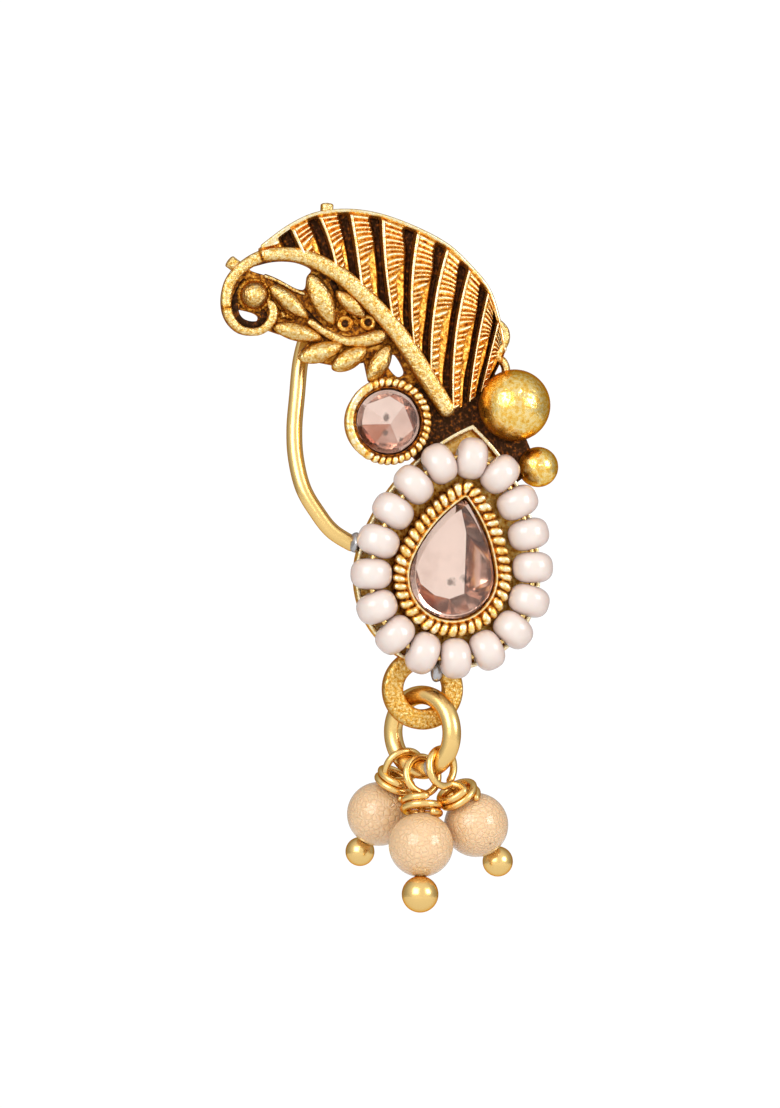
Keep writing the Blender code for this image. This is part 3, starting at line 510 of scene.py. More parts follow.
def foil(name, pale, deep):
    """Champagne foil: a warm mirror, each facet with painted shade of its own between two colours.
    """
    finish, tree, shader, where = new_finish(name)
    drift = add(tree, "ShaderNodeTexNoise", {"Vector": where.outputs["Object"],
                                             "Scale": 1.0 / (1.2 * MM), "Detail": 3.0})
    facet = add(tree, "ShaderNodeAttribute", attribute_name="tone").outputs["Fac"]
    mixed = add(tree, "ShaderNodeMath", {0: drift.outputs["Fac"], 1: 0.5, 2: facet},
                operation="MULTIPLY_ADD")
    share = add(tree, "ShaderNodeMath", {0: mixed.outputs[0], 1: 0.25}, operation="SUBTRACT",
                use_clamp=True)
    tone = add(tree, "ShaderNodeMix", {"Factor": share.outputs[0], "A": colour(pale),
                                       "B": colour(deep)}, data_type="RGBA")
    base = worn_spots(tree, where.outputs["Object"], tone.outputs["Result"], WORN_FOIL, "#5E4C42")
    tree.links.new(base, shader.inputs["Base Color"])
    shader.inputs["Metallic"].default_value = 0.85
    shader.inputs["Roughness"].default_value = 0.10
    return finish


WORN_FOIL = [((0.15, -0.38, 0.90), 0.34), ((1.10, -0.15, 0.90), 0.38),
             ((-4.27, 10.56, 1.0), 0.28), ((-4.34, 9.56, 1.0), 0.26), ((-3.32, 9.06, 1.1), 0.20)]
stone_glass = clear_glass("clear_champagne_glass", "#FFF9F6")
# The deep colour is the painted shade of the darker facets.
stone_foil = foil("champagne_foil", "#FFE7DA", "#AC6A4C")

# %% [markdown]
# ## The pear outline
#
# Stone, rope, pearls and tray all follow one pear outline at growing distances. It is drawn as
# a jeweller's template is, from arcs: a small one for the tip, two long ones for the sides and a
# big one for the foot. From arcs the point, its outward direction and any parallel outline come
# exactly, for a whole array of places at once.

# %% Pear outlines
PEAR_TILT = math.radians(9.5)
# half the width, the tip's height, the shoulder's angle in degrees, the tip's radius
STONE = (2.8, 5.2, 15.0, 0.0)
STRING = (5.44, 7.94, 5.0, 3.4)
TRAY = (6.29, 10.29, 10.0, 0.0)


def side_arc(sizes):
    """The middle of a side arc and the angles that it spans, from the sizes of a pear."""
    half_width, tip_height, shoulder, tip_radius = sizes
    lean, foot, rise = math.radians(shoulder), half_width - tip_radius, tip_height - tip_radius
    swing = (rise ** 2 - foot ** 2) / (2 * (foot - rise * math.sin(lean)))
    side = swing * math.cos(lean), swing * math.sin(lean)
    return lean, rise, swing, side, math.atan2(rise + side[1], side[0])


def grown(sizes, distance):
    """The sizes of the parallel outline at a distance outside, or inside if it is below zero."""
    half_width, tip_height, shoulder, tip_radius = sizes
    if tip_radius + distance >= 0.0:
        return half_width + distance, tip_height + distance, shoulder, tip_radius + distance
    lean, _, swing, side, _ = side_arc(sizes)
    rise = math.sqrt((half_width + swing + distance) ** 2 - side[0] ** 2) - side[1]
    return half_width + distance, rise, shoulder, 0.0


def pear_line(sizes, shares):
    """Points and outward directions at shares of the way round, clockwise from the tip.

    On each arc the outward direction is (cos a, sin a) and the point is middle + radius outward.
    """
    half_width, _, _, tip_radius = sizes
    lean, rise, swing, side, top = side_arc(sizes)
    middles = np.array([(0, rise), (-side[0], -side[1]), (0, 0), (side[0], -side[1]), (0, rise)])
    radii = np.array([tip_radius, half_width + swing, half_width, half_width + swing, tip_radius])
    first = np.array([np.pi / 2, top, lean, np.pi - lean, np.pi - top])
    last = np.array([top, lean, -np.pi - lean, np.pi - top, np.pi / 2])
    lengths = radii * np.abs(last - first)
    ends = np.cumsum(lengths)
    way = np.mod(shares, 1.0) * ends[-1]
    arc = np.clip(np.searchsorted(ends, way, side="right"), 0, 4)
    share = (way - ends[arc] + lengths[arc]) / lengths[arc]
    turn = first[arc] + (last[arc] - first[arc]) * share
    outward = np.stack([np.cos(turn), np.sin(turn)], axis=-1)
    points = middles[arc] + radii[arc][..., None] * outward
    lean_right = np.array([[math.cos(PEAR_TILT), -math.sin(PEAR_TILT)],
                           [math.sin(PEAR_TILT), math.cos(PEAR_TILT)]])
    return points @ lean_right, outward @ lean_right


def pear_length(sizes):
    """How long a pear outline is, summed over a fine line along it."""
    line, _ = pear_line(sizes, np.linspace(0.0, 1.0, 721))
    return float(np.linalg.norm(np.diff(line, axis=0), axis=1).sum())


def pear_rings(rows, count=360):
    """Rings of points, one for each row of (sizes, distance outside, forward)."""
    shares = np.arange(count) / count
    return np.stack([with_forward(pear_line(grown(sizes, distance), shares)[0], forward)
                     for sizes, distance, forward in rows])


def tray_at(share):
    """One point of the tray's outline and its outward direction, at a share of the way round."""
    spots, outward = pear_line(TRAY, np.array([share]))
    return spots[0], outward[0]


tray_tip = tray_at(0.0)[0]
print("tray tip at", tray_tip.round(3), "mm from the pear's middle")

# %% [markdown]
# ## The feather's vane
#
# The vane is one skin with everything on it: the crests of the barbs, the terraces beside them
# with their cross-ribs, and the dark grooves. Two numbers name a point: how many barbs along,
# and how far from the rachis to the rim. A table holds the two ends and the bow of
# each crest, and between the crests one profile repeats. A bump map could draw the ribs too, but
# real relief catches the light from all sides.

# %% The vane's table and its relief
FEATHER_SPAN, FEATHER_RISE = 22.0, 14.0
PLATE, RELIEF, VANE_BACK = 0.9, 0.8, 0.06
BARB_PITCH, RIB_PITCH = 1.75, 0.40
RIB_LEAN = 0.35              # how far a cross-rib climbs along the barb, for its way across
WAVE, WAVE_LENGTH = 0.07, 1.4
BARB_CRESTS = np.array([
    # foot across, foot up, end across, end up, bow
    (-0.652, 0.790, -0.652, 0.829, 0.000),
    (-0.526, 0.795, -0.566, 0.929, 0.000),
    (-0.425, 0.714, -0.483, 0.990, 0.040),
    (-0.348, 0.614, -0.385, 1.007, 0.010),
    (-0.252, 0.476, -0.286, 0.986, -0.020),
    (-0.185, 0.343, -0.175, 0.924, -0.045),
    (-0.135, 0.200, -0.083, 0.848, -0.047),
    (-0.068, 0.076, -0.015, 0.752, -0.045),
    (-0.018, 0.105, 0.043, 0.643, -0.020),
    (0.018, 0.152, 0.074, 0.505, 0.000),
    (0.055, 0.219, 0.095, 0.343, 0.000),
])
BARBS = len(BARB_CRESTS) - 1


def on_feather(shares):
    """(across, up) points from shares of the feather's span and rise, from the tray's tip."""
    return tray_tip + np.asarray(shares, float) * [FEATHER_SPAN, FEATHER_RISE]


def vane_grid():
    """The vane's points and patina, over the places along the barbs and the ways up them.

    A point is foot + way chord + 4 bow way (1 - way) sideways; its height is the plate plus the
    relief times a level that the barb's profile gives.
    """
    inside = np.concatenate([[0.0, 0.012, 0.024, 0.038, 0.055, 0.075], np.arange(0.10, 0.90, 0.025),
                             [0.91, 0.925, 0.94, 0.953, 0.966, 0.978, 0.99]])
    places = np.concatenate([(np.arange(BARBS)[:, None] + inside).ravel(), [float(BARBS)]])
    way = np.linspace(0.0, 1.0, 165)[None, :]
    rows = through(BARB_CRESTS, places)
    foot, end = on_feather(rows[:, 0:2]), on_feather(rows[:, 2:4])
    chord = end - foot
    sideways = np.stack([chord[:, 1], -chord[:, 0]], axis=-1)
    bend = (4.0 * rows[:, 4:5] * way * (1.0 - way))[..., None]
    flat = foot[:, None] + chord[:, None] * way[..., None] + sideways[:, None] * bend

    length = np.linalg.norm(chord, axis=1)[:, None]
    from_rim = (1.0 - way) * length
    share = (places % 1.0)[:, None] + np.zeros_like(way)
    cell = np.minimum(places.astype(int), BARBS - 1)
    top, root = on_feather(BARB_CRESTS[cell, 2:4]), on_feather(BARB_CRESTS[cell, 0:2])
    down = ((flat - top[:, None]) * unit(root - top)[:, None]).sum(axis=-1)
    broad = ease(places, 2.5, 4.5)[:, None] * ease(way, 0.15, 0.45) * (1 - ease(way, 0.75, 0.95))
    groove = 0.72 + 0.13 * broad
    slope = 0.14
    band = 1.0 - ease(share, groove - slope, groove + 0.02)
    crest = 1.0 - ease(np.abs((share + 0.455) % 1.0 - 0.5), 0.02, 0.10)
    ribbed = 0.48 + 0.30 * ease(way, 0.45, 0.75)
    ribs = ease(share, 0.10, 0.15) * (1.0 - ease(share, ribbed - 0.10, ribbed))
    wave = WAVE * np.sin(TAU * (down / WAVE_LENGTH + 0.37 * cell[:, None]))
    across_crest = down + RIB_LEAN * share * BARB_PITCH + wave
    phase = across_crest + (from_rim - across_crest) * ease(way, 0.60, 1.0)
    rib = (0.5 + 0.5 * np.cos(TAU * phase / RIB_PITCH)) ** 0.6
    border = 1.0 - ease(from_rim, 0.14, 0.34)

    level = band * (0.84 - 0.30 * share / groove + 0.30 * ribs * (rib - 0.5))
    level = level + (1.0 - level) * crest
    level = level + (0.66 + 0.18 * rib - level) * border
    ribbing = ribs * (0.62 * rib - 0.10 + 0.08 * ease(way, 0.6, 0.8))
    patina = 0.05 + band * (0.54 - 0.16 * share + ribbing)
    patina = patina + (0.98 - patina) * crest
    patina = patina + (0.45 + 0.5 * rib - patina) * border
    return with_forward(flat, PLATE - 0.15 + (RELIEF + 0.15) * level), patina


vane, vane_patina = vane_grid()
back = np.pad(vane, ((1, 1), (1, 1), (0, 0)), mode="edge")
back[[0, -1], :, 2] = VANE_BACK
back[:, [0, -1], 2] = VANE_BACK
cast("feather_vane", [skin(back, patina=np.pad(vane_patina, 1, constant_values=PLAIN_BACK))],
     sharp=50.0)

# %% [markdown]
# ## Rim, rachis and curl
#
# A thin wire line runs along the vane's edge, and the rachis is the feather's quill: a thick
# satin bar that tapers as it climbs and rolls over into the curl. Both are sweeps, and the
# rachis gets a boxier section, because a mould wears flat on top. Oxide stayed in two seams
# across the curl.

# %% Rim and rachis
RIM_RADIUS, RIM_FORWARD = 0.15, 1.28
rim_ends = through(BARB_CRESTS, np.linspace(0, BARBS, 160))[:, 2:4]
rim_line = with_forward(on_feather(rim_ends), RIM_FORWARD)
cast("feather_rim", [swept(rim_line, blunt(rim_line, RIM_RADIUS), 12)])

RACHIS_WIDTH = 1.27
RACHIS_LINE = np.array([
    # across, up, width
    (-0.071, 0.038, 0.90),
    (-0.145, 0.219, 1.00),
    (-0.203, 0.362, 0.98),
    (-0.258, 0.476, 0.95),
    (-0.335, 0.600, 0.93),
    (-0.418, 0.710, 0.90),
    (-0.526, 0.790, 0.80),
    (-0.631, 0.795, 0.68),
    (-0.702, 0.743, 0.62),
    (-0.745, 0.667, 0.60),
    (-0.758, 0.581, 0.55),
    (-0.748, 0.500, 0.50),
    (-0.714, 0.443, 0.42),
    (-0.668, 0.431, 0.42),
    (-0.636, 0.455, 0.45),
    (-0.617, 0.500, 0.50),
    (-0.617, 0.545, 0.46),
    (-0.630, 0.580, 0.34),
])
rows = through(RACHIS_LINE, crowded(260) * (len(RACHIS_LINE) - 1))
rachis_line = with_forward(on_feather(rows[:, :2]), PLATE + RACHIS_WIDTH * 0.3)
rachis_round = blunt(rachis_line, 0.5) / 0.5
seams = sum(np.exp(-(np.linalg.norm(rachis_line[:, :2] - on_feather(spot), axis=1) / 0.14) ** 2)
            for spot in ((-0.757, 0.545), (-0.652, 0.788)))
turn = np.linspace(0.0, TAU, 32, endpoint=False)
cast("rachis", [swept(rachis_line, rachis_round * rows[:, 2] * RACHIS_WIDTH / 2, 32, square=0.8,
                      flat=0.85, patina=rubbed_and_shaded_round(np.sin(turn)) * (1 - 0.8 * seams[:, None]))],
     satin_gold)

# %% [markdown]
# ## Plates behind the openwork
#
# Behind the leaves and round the cups the casting is a thin plate with holes through it. A flat
# curve is the natural tool: Blender fills it, leaves out every closed line inside it, and
# rounds its edges. It is made a mesh at once and stood up, so that nothing stays live on it.

# %% Plates


def plate(name, outlines, back, front, patina, finish=feather_gold):
    """A plate with rounded edges from closed (across, up) lines; inner lines are holes."""
    edge = 0.08
    curve = bpy.data.curves.new(name, "CURVE")
    curve.dimensions, curve.fill_mode = "2D", "BOTH"
    curve.extrude = (front - back) / 2 - edge
    curve.bevel_depth, curve.bevel_resolution, curve.offset = edge, 3, -edge
    for outline in outlines:
        spline = curve.splines.new("POLY")
        spline.points.add(len(outline) - 1)
        flat = np.concatenate([outline, np.zeros((len(outline), 1)), np.ones((len(outline), 1))],
                              axis=1)
        spline.points.foreach_set("co", flat.ravel())
        spline.use_cyclic_u = True
    drawn = bpy.data.objects.new(name, curve)
    bpy.context.scene.collection.objects.link(drawn)
    bpy.context.view_layer.update()
    mesh = bpy.data.meshes.new_from_object(
        drawn.evaluated_get(bpy.context.evaluated_depsgraph_get()))
    bpy.data.objects.remove(drawn)
    flat = np.zeros(len(mesh.vertices) * 3)
    mesh.vertices.foreach_get("co", flat)
    flat = flat.reshape(-1, 3) + [0.0, 0.0, (front + back) / 2]
    mesh.vertices.foreach_set("co", stood(flat).ravel())
    mend(mesh, np.where(flat[:, 2] < back + edge, PLAIN_BACK, patina))
    return shown(name, mesh, finish, "soldered_frame")


def rounded(points, count=60):
    """A smooth closed line through a few (across, up) points."""
    points = np.asarray(points, float)
    ring = np.concatenate([points[-1:], points, points[:2]])
    return through(ring, 1.0 + np.arange(count) / count * len(points))


SPRAY_FRONT = 0.6
SPRAY_EDGE = [(-0.597, 0.425), (-0.500, 0.385), (-0.523, 0.345), (-0.505, 0.300),
              (-0.412, 0.272), (-0.330, 0.290), (-0.318, 0.205), (-0.262, 0.110)]
SPRAY_GAPS = [
    [(-0.680, 0.725), (-0.645, 0.752), (-0.594, 0.767), (-0.538, 0.762), (-0.493, 0.731),
     (-0.505, 0.695), (-0.512, 0.640), (-0.540, 0.640), (-0.600, 0.686)],
    [(-0.727, 0.536), (-0.675, 0.524), (-0.655, 0.502), (-0.665, 0.476), (-0.697, 0.468),
     (-0.719, 0.486)],
    [(-0.260, 0.282), (-0.238, 0.329), (-0.208, 0.248), (-0.231, 0.225)],
]
upper = on_feather(through(RACHIS_LINE, np.linspace(0.0, 14.0, 60))[:, :2])
uphill = unit(np.gradient(upper, axis=0))
upper = upper + 0.22 * np.stack([uphill[:, 1], -uphill[:, 0]], axis=-1)
plate("spray_plate", [np.concatenate([upper, on_feather(SPRAY_EDGE)])]
      + [rounded(on_feather(gap)) for gap in SPRAY_GAPS], 0.0, SPRAY_FRONT, 0.32)

# %% [markdown]
# ## Leaves, stem and the ball in the curl
#
# The seven leaves are plump and pointed. A leaf is a closed form whose width and thickness
# follow the same curve along it, fullest a little nearer its tip, and the stem between them is a
# thin wire. The ball in the curl has a ragged lip, where the mould's two halves met.
# Dark pools lie between the leaves, partly oxide and partly painted shade, grains of the
# casting are strewn there, and two small rings stand round dark wells. A thin rim edges the
# plate under the curl.

# %% The spray
LEAVES = np.array([
    # start across, start up, end across, end up, width
    (-0.623, 0.652, -0.506, 0.497, 0.049),
    (-0.502, 0.710, -0.429, 0.468, 0.062),
    (-0.422, 0.630, -0.330, 0.502, 0.046),
    (-0.615, 0.462, -0.463, 0.400, 0.049),
    (-0.537, 0.305, -0.400, 0.371, 0.055),
    (-0.434, 0.257, -0.325, 0.357, 0.055),
    (-0.320, 0.200, -0.255, 0.376, 0.055),
])


def leaf_skin(start, end, width, thick=1.3):
    """A leaf from its tip to its foot: as wide as width and as high as thick, where fullest.

    Both follow the fullness sin(pi t^0.9)^0.62 along it, with t the share of the way.
    """
    t = crowded(44)
    line = with_forward(start + (end - start) * t[:, None], SPRAY_FRONT + thick * 0.3)
    fullness = np.sin(np.pi * t ** 0.9) ** 0.62
    fullness[[0, -1]] = 0.0
    turn = np.linspace(0.0, TAU, 28, endpoint=False)[None, :]
    # Bright down the middle and darker at the edges: rubbed plate plus painted highlight and shade.
    patina = 0.38 + 0.62 * ease(np.sin(turn), -0.1, 0.75) * ease(fullness, 0.0, 0.6)[:, None]
    return swept(line, fullness * width / 2, 28, flat=thick / width, square=1.1, patina=patina)


PLUMP = 1.12                 # how much wider the leaves are drawn than the table's widths
for number, row in enumerate(LEAVES, start=1):
    cast(f"leaf_{number}", [leaf_skin(on_feather(row[0:2]), on_feather(row[2:4]),
                                      row[4] * FEATHER_SPAN * PLUMP)], satin_gold)

STEM_LINE = [(-0.508, 0.490), (-0.455, 0.433), (-0.397, 0.393), (-0.340, 0.393),
             (-0.289, 0.416), (-0.245, 0.462)]
stem_line = with_forward(on_feather(through(STEM_LINE, crowded(80) * 5)), 0.85)
thickness = through([(0.30,), (0.30,), (0.34,), (0.40,), (0.52,), (0.48,), (0.0,)],
                    crowded(80) * 6)[:, 0].clip(0.0)
cast("spray_stem", [swept(stem_line, np.minimum(blunt(stem_line, 0.3) / 0.3, 1.0) * thickness,
                          20)], satin_gold)

plate_line = with_forward(on_feather(through([(-0.640, 0.700), (-0.600, 0.675), (-0.548, 0.632),
                                              (-0.512, 0.612)], crowded(40) * 3)), 0.68)
cast("plate_rim", [swept(plate_line, blunt(plate_line, 0.15), 14)], satin_gold)

# Dark pools between the leaves and round the curl: partly oxide, partly painted shade.
POOLS = [
    [(-0.693, 0.681), (-0.713, 0.632), (-0.725, 0.585), (-0.727, 0.549), (-0.721, 0.508),
     (-0.704, 0.479), (-0.677, 0.466), (-0.651, 0.472), (-0.637, 0.498), (-0.644, 0.527),
     (-0.664, 0.539), (-0.690, 0.551), (-0.711, 0.572)],
    [(-0.434, 0.681), (-0.419, 0.639), (-0.404, 0.591), (-0.391, 0.553)],
    [(-0.542, 0.548), (-0.511, 0.529), (-0.487, 0.491), (-0.462, 0.458)],
]
pools = []
for pool, reach in zip(POOLS, (0.24, 0.22, 0.20)):
    pool_line = with_forward(on_feather(through(pool, crowded(90) * (len(pool) - 1))), 0.58)
    pools.append(swept(pool_line, blunt(pool_line, reach), 16, flat=0.35, patina=0.0))
cast("oxide_and_shade_pools", pools)

scatter = np.random.default_rng(7)
grains = []
for middle, spread, count in (((-0.565, 0.520), (0.036, 0.022), 16),
                              ((-0.385, 0.505), (0.052, 0.045), 40),
                              ((-0.250, 0.170), (0.020, 0.050), 10)):
    for spot in np.array(middle) + scatter.uniform(-1.0, 1.0, (count, 2)) * spread:
        grains.append(ball_skin(with_forward(on_feather(spot), 0.55), scatter.uniform(0.16, 0.30),
                                around=14, bands=10, patina=scatter.uniform(0.35, 0.75)))
cast("spray_grains", grains, satin_gold)

ball_place = with_forward(on_feather((-0.668, 0.607)), SPRAY_FRONT)
lip_line = ring_line(ball_place, 1.02, 48)
ragged = np.random.default_rng(3).uniform(0.10, 0.22, (48, 1)) * np.ones((1, 10))
cast("spray_ball", [ball_skin(ball_place, 0.92),
                    swept(lip_line, ragged, 10, closed=True, patina=0.55)], satin_gold)

ring_places = np.array([(-6.92, 16.79, 0.75), (-5.37, 16.89, 0.75)])
cast("spray_rings", [swept(ring_line(spot, 0.40, 32), 0.19, 12, closed=True, patina=0.50)
                     for spot in ring_places]
     + [ball_skin(spot - [0.0, 0.0, 0.05], 0.34, (), 24, 12, (1.0, 1.0, 0.4), patina=0.0)
        for spot in ring_places])

# %% [markdown]
# ## Balls, nubs and the web between them
#
# Two burnished balls fill the corner beside the tray. They are nearly smooth, so what shows is
# their reflections, broken by a few deeper pits and many shallow ones from the casting: dents
# pressed into the ball by one formula. The nubs on the rim are the clipped ends of the channels
# that the metal ran in by, and the web ties cup, rachis, balls and tray together.

# %% Balls and nubs
BIG_BALL, SMALL_BALL, STANDOFF = 4.8, 2.7, 0.4
BALL_RISE = 0.28             # share of a ball's width from the casting's back to its middle
big_spot, big_out = tray_at(0.0225)
small_spot, small_out = tray_at(0.1055)
big_place = with_forward(big_spot + big_out * (BIG_BALL / 2 + STANDOFF), BIG_BALL * BALL_RISE)
small_place = with_forward(small_spot + small_out * (SMALL_BALL / 2 + STANDOFF),
                           SMALL_BALL * BALL_RISE)
chance = np.random.default_rng(11)
pits = [((0.05, 0.35, 0.95), 0.16, 0.09), ((-0.02, 0.28, 0.95), 0.10, 0.07),
        ((0.12, 0.24, 0.95), 0.12, 0.05)]
pits += [(chance.normal(size=3), chance.uniform(0.06, 0.14), chance.uniform(0.01, 0.03))
         for _ in range(120)]
cast("big_ball", [ball_skin(big_place, BIG_BALL / 2, pits, 160, 110)], ball_gold)
dimple = [((-0.05, 0.1, 1.0), 0.13, 0.08)]
dimple += [(chance.normal(size=3), chance.uniform(0.05, 0.1), chance.uniform(0.005, 0.02))
           for _ in range(50)]
cast("small_ball", [ball_skin(small_place, SMALL_BALL / 2, dimple, 96, 64)], ball_gold)

stubs = []
for spot, way in (((-0.449, 1.016), (0.05, 1.0)), ((-0.735, 0.752), (-0.8, 0.6))):
    middle = on_feather(spot)
    line = with_forward(middle + unit(np.array(way)) * np.linspace(-0.5, 0.42, 24)[:, None], 0.95)
    stubs.append(swept(line, blunt(line, 0.16) / 0.16 * 0.42, 20, square=0.7))
cast("casting_nubs", stubs, satin_gold)

SCROLL_LINE = [(0.070, 0.490), (0.0954, 0.4476), (0.0985, 0.400), (0.083, 0.352),
               (0.077, 0.319), (0.092, 0.295), (0.100, 0.257), (0.094, 0.205)]
scroll_line = with_forward(on_feather(through(SCROLL_LINE, crowded(90) * 7)), 1.1)
cast("rim_scroll", [swept(scroll_line, blunt(scroll_line, 0.29), 18, flat=1.3)], satin_gold)

cup_spot, cup_out = tray_at(0.900)
cup_middle = cup_spot + cup_out * 3.3
corners = np.concatenate([[cup_middle], on_feather([(-0.262, 0.110), (-0.151, 0.210),
                                                    (-0.068, 0.076), (-0.012, 0.138),
                                                    (0.070, 0.240)]),
                          [big_place[:2], small_place[:2]]])
under_tray = pear_line(grown(TRAY, -0.2), np.array([0.11, 0.05, 0.0, 0.95, 0.90]))[0]
plate("web", [np.concatenate([corners, under_tray])], 0.1, 0.8, 0.06)

# %% [markdown]
# ## The round cup and its rope edge
#
# A rope edge is made by rolling a notched wheel along a wire. Each notch leaves a waist and each
# gap a lobe, so the wire's radius swells and narrows along it. The power in the formula makes
# the lobes full and the waists sharp, and a slight twist leans them as the wheel does.

# %% Ropes and the round cup


def rope_skin(line, radius, lobes, waist=0.62, slant=0.15, around=24, depth=1.0, flat=1.0):
    """A rope edge: radius (1 - (1 - waist) depth (1 - |cos(pi (lobe + slant cos a))|^0.6)).

    Each lobe is out of step by up to 0.16 of its length and is rubbed a little more or less.
    """
    lobe = np.arange(len(line))[:, None] / len(line) * lobes
    worn = through(np.random.default_rng(lobes).uniform(-1.0, 1.0, (lobes + 1, 1)), lobe[:, 0])
    worn = worn * np.minimum(1.0, np.minimum(lobe, lobes - lobe))
    lobe = lobe + 0.16 * worn
    turn = np.linspace(0.0, TAU, around, endpoint=False)[None, :]
    notch = (1.0 - np.abs(np.cos(np.pi * (lobe + slant * np.cos(turn)))) ** 0.60) * depth
    patina = 0.14 + (0.76 + 0.14 * worn) * (1.0 - notch) ** 1.4 * ease(np.sin(turn), -0.6, 0.4)
    return swept(line, radius * (1.0 - (1.0 - waist) * notch), around, closed=True, square=0.75,
                 flat=flat, patina=patina)


ROUND_ROPE = 2.6
LOBE_POINTS = 14             # points along each lobe of a rope
round_lobes = round(TAU * ROUND_ROPE / 0.46)
compass = np.arange(round_lobes * LOBE_POINTS)[:, None] / (round_lobes * LOBE_POINTS)
rolled = 1.0 - 0.9 * ease(compass, 0.56, 0.62) * (1.0 - ease(compass, 0.90, 0.96))
# the cup's wall as (radius, forward), from the back over the lip and down to its floor
cup_wall = np.array([(2.62, 0.12), (2.66, 1.9), (2.55, 2.25), (2.32, 2.42), (2.24, 2.5),
                     (2.2, 2.42), (2.2, 1.9), (1.95, 1.9), (1.95, 0.6), (0.0, 0.6)])
wall_patina = np.array([PLAIN_BACK, 0.75, 0.5, 0.2, 0.35, 0.2, 0.1, 0.1, 0.1, 0.1])[:, None]
cast("round_cup", [
    turned(cup_wall, with_forward(cup_middle, 0.0), FORWARD, 96, patina=wall_patina),
    rope_skin(ring_line(with_forward(cup_middle, 2.3), ROUND_ROPE, round_lobes * LOBE_POINTS), 0.3,
              round_lobes, depth=rolled)])

# %% [markdown]
# ## Tray and pear cup
#
# The tray is a shallow pan: a flat back, a thin rim that the pearls rest on, a floor, and in
# its middle the wall of the pear cup with a lip and a ledge for the stone. One profile carried
# round the pear outline makes all of it, so nothing can leak between floor and walls.

# %% The pear tray
PROFILE = [
    # outline, distance outside it, forward, patina
    (TRAY, 0.00, 0.00, PLAIN_BACK),
    (TRAY, 0.00, 0.90, 0.75),
    (TRAY, -0.05, 0.99, 1.00),
    (TRAY, -0.16, 1.02, 1.00),
    (TRAY, -0.28, 0.98, 0.95),
    (TRAY, -0.32, 0.90, 0.55),
    (TRAY, -0.32, 0.55, 0.40),
    (TRAY, -0.40, 0.50, 0.64),
    (TRAY, -0.70, 0.50, 0.68),
    (STONE, 1.30, 0.50, 0.52),
    (STONE, 0.90, 0.50, 0.30),
    (STONE, 0.84, 0.60, 0.25),
    (STONE, 0.84, 2.25, 0.35),
    (STONE, 0.80, 2.50, 0.30),
    (STONE, 0.42, 2.50, 0.25),
    (STONE, 0.34, 2.60, 0.55),
    (STONE, 0.24, 2.72, 0.90),
    (STONE, 0.15, 2.72, 0.85),
    (STONE, 0.10, 2.62, 0.45),
    (STONE, 0.10, 2.10, 0.20),
    (STONE, -0.15, 2.10, 0.15),
    (STONE, -0.15, 0.60, 0.10),
]
cast("pear_tray", [skin(pear_rings([row[:3] for row in PROFILE]), (False, True),
                        np.array([row[3] for row in PROFILE])[:, None])])
ROPE = grown(STONE, 0.78)
pear_lobes = round(pear_length(ROPE) / 0.62)
rope_points = pear_lobes * LOBE_POINTS
rope_line = with_forward(pear_line(ROPE, np.arange(rope_points) / rope_points)[0], 2.5)
cast("pear_rope", [rope_skin(rope_line, 0.45, pear_lobes, waist=0.50, flat=0.8)])

# %% [markdown]
# ## The stones
#
# A pear cut has a pear-shaped table, a thin girdle, and below it facets that run to a keel. The
# tight skin round a few rings of points gives exactly those flat facets. Faces that look back
# get the foil and the rest stay clear glass, as on the real stone, so light goes in, meets the
# foil and comes out again. Facets are flat, so every edge between them is kept sharp.

# %% Cut stones


def painted_facet_shade(bearing):
    """Painted shade on a facet's foil, from where it faces, in degrees clockwise from the top."""
    return np.interp(bearing, [-180, -165, -150, -110, -90, 20, 60, 120, 150, 165, 180],
                     [0.45, 0.60, 0.95, 0.80, 0.10, 0.00, 0.30, 0.32, 0.20, 0.30, 0.45])


def cut_stone(name, points, node):
    """The tight skin round a set of drawing points: glass in front, foil on what looks back."""
    form = bmesh.new()
    for spot in stood(points):
        form.verts.new(spot)
    wrap = bmesh.ops.convex_hull(form, input=form.verts)
    spare = [v for v in wrap["geom_interior"] if isinstance(v, bmesh.types.BMVert)]
    bmesh.ops.delete(form, geom=spare, context="VERTS")
    bmesh.ops.dissolve_limit(form, angle_limit=math.radians(0.5), verts=form.verts,
                             edges=form.edges)
    bmesh.ops.recalc_face_normals(form, faces=form.faces)
    mesh = bpy.data.meshes.new(name)
    form.to_mesh(mesh)
    form.free()
    made = shown(name, mesh, stone_glass, node, sharp=1.0)
    mesh.materials.append(stone_foil)
    facing = np.zeros(len(mesh.polygons) * 3)
    mesh.polygons.foreach_get("normal", facing)
    across, away, up = facing.reshape(-1, 3).T
    mesh.polygons.foreach_set("material_index", (away > 0.05).astype(np.int32))
    # Each facet's foil gets painted shade from the way it faces.
    facet_shade_layer = mesh.attributes.new("tone", "FLOAT", "FACE")
    facet_shade_layer.data.foreach_set("value", painted_facet_shade(np.degrees(np.arctan2(across, up))).astype(np.float32))
    return made


def pear_points(scale, count, forward, shift=0.0):
    """So many points of the stone's outline, drawn in towards its middle by a scale."""
    line, _ = pear_line(STONE, (np.arange(count) + shift) / count)
    return with_forward(line * scale, forward)


PEAR_BACK = [(0.75, 4.45, 1.15), (-0.35, 3.75, 1.08), (-1.55, 2.4, 0.99), (-2.3, 0.6, 0.90),
             (1.2, 0.6, 0.90), (1.1, 2.9, 1.00), (-1.95, -0.5, 0.78), (-1.0, -1.25, 0.66),
             (1.0, -1.15, 0.68), (0.0, -1.5, 0.64)]
cut_stone("pear_cut_stone", np.concatenate([
    pear_points(0.91, 48, 3.0), pear_points(1.0, 48, 2.4), pear_points(1.0, 48, 2.2),
    PEAR_BACK]), "pear_stone")

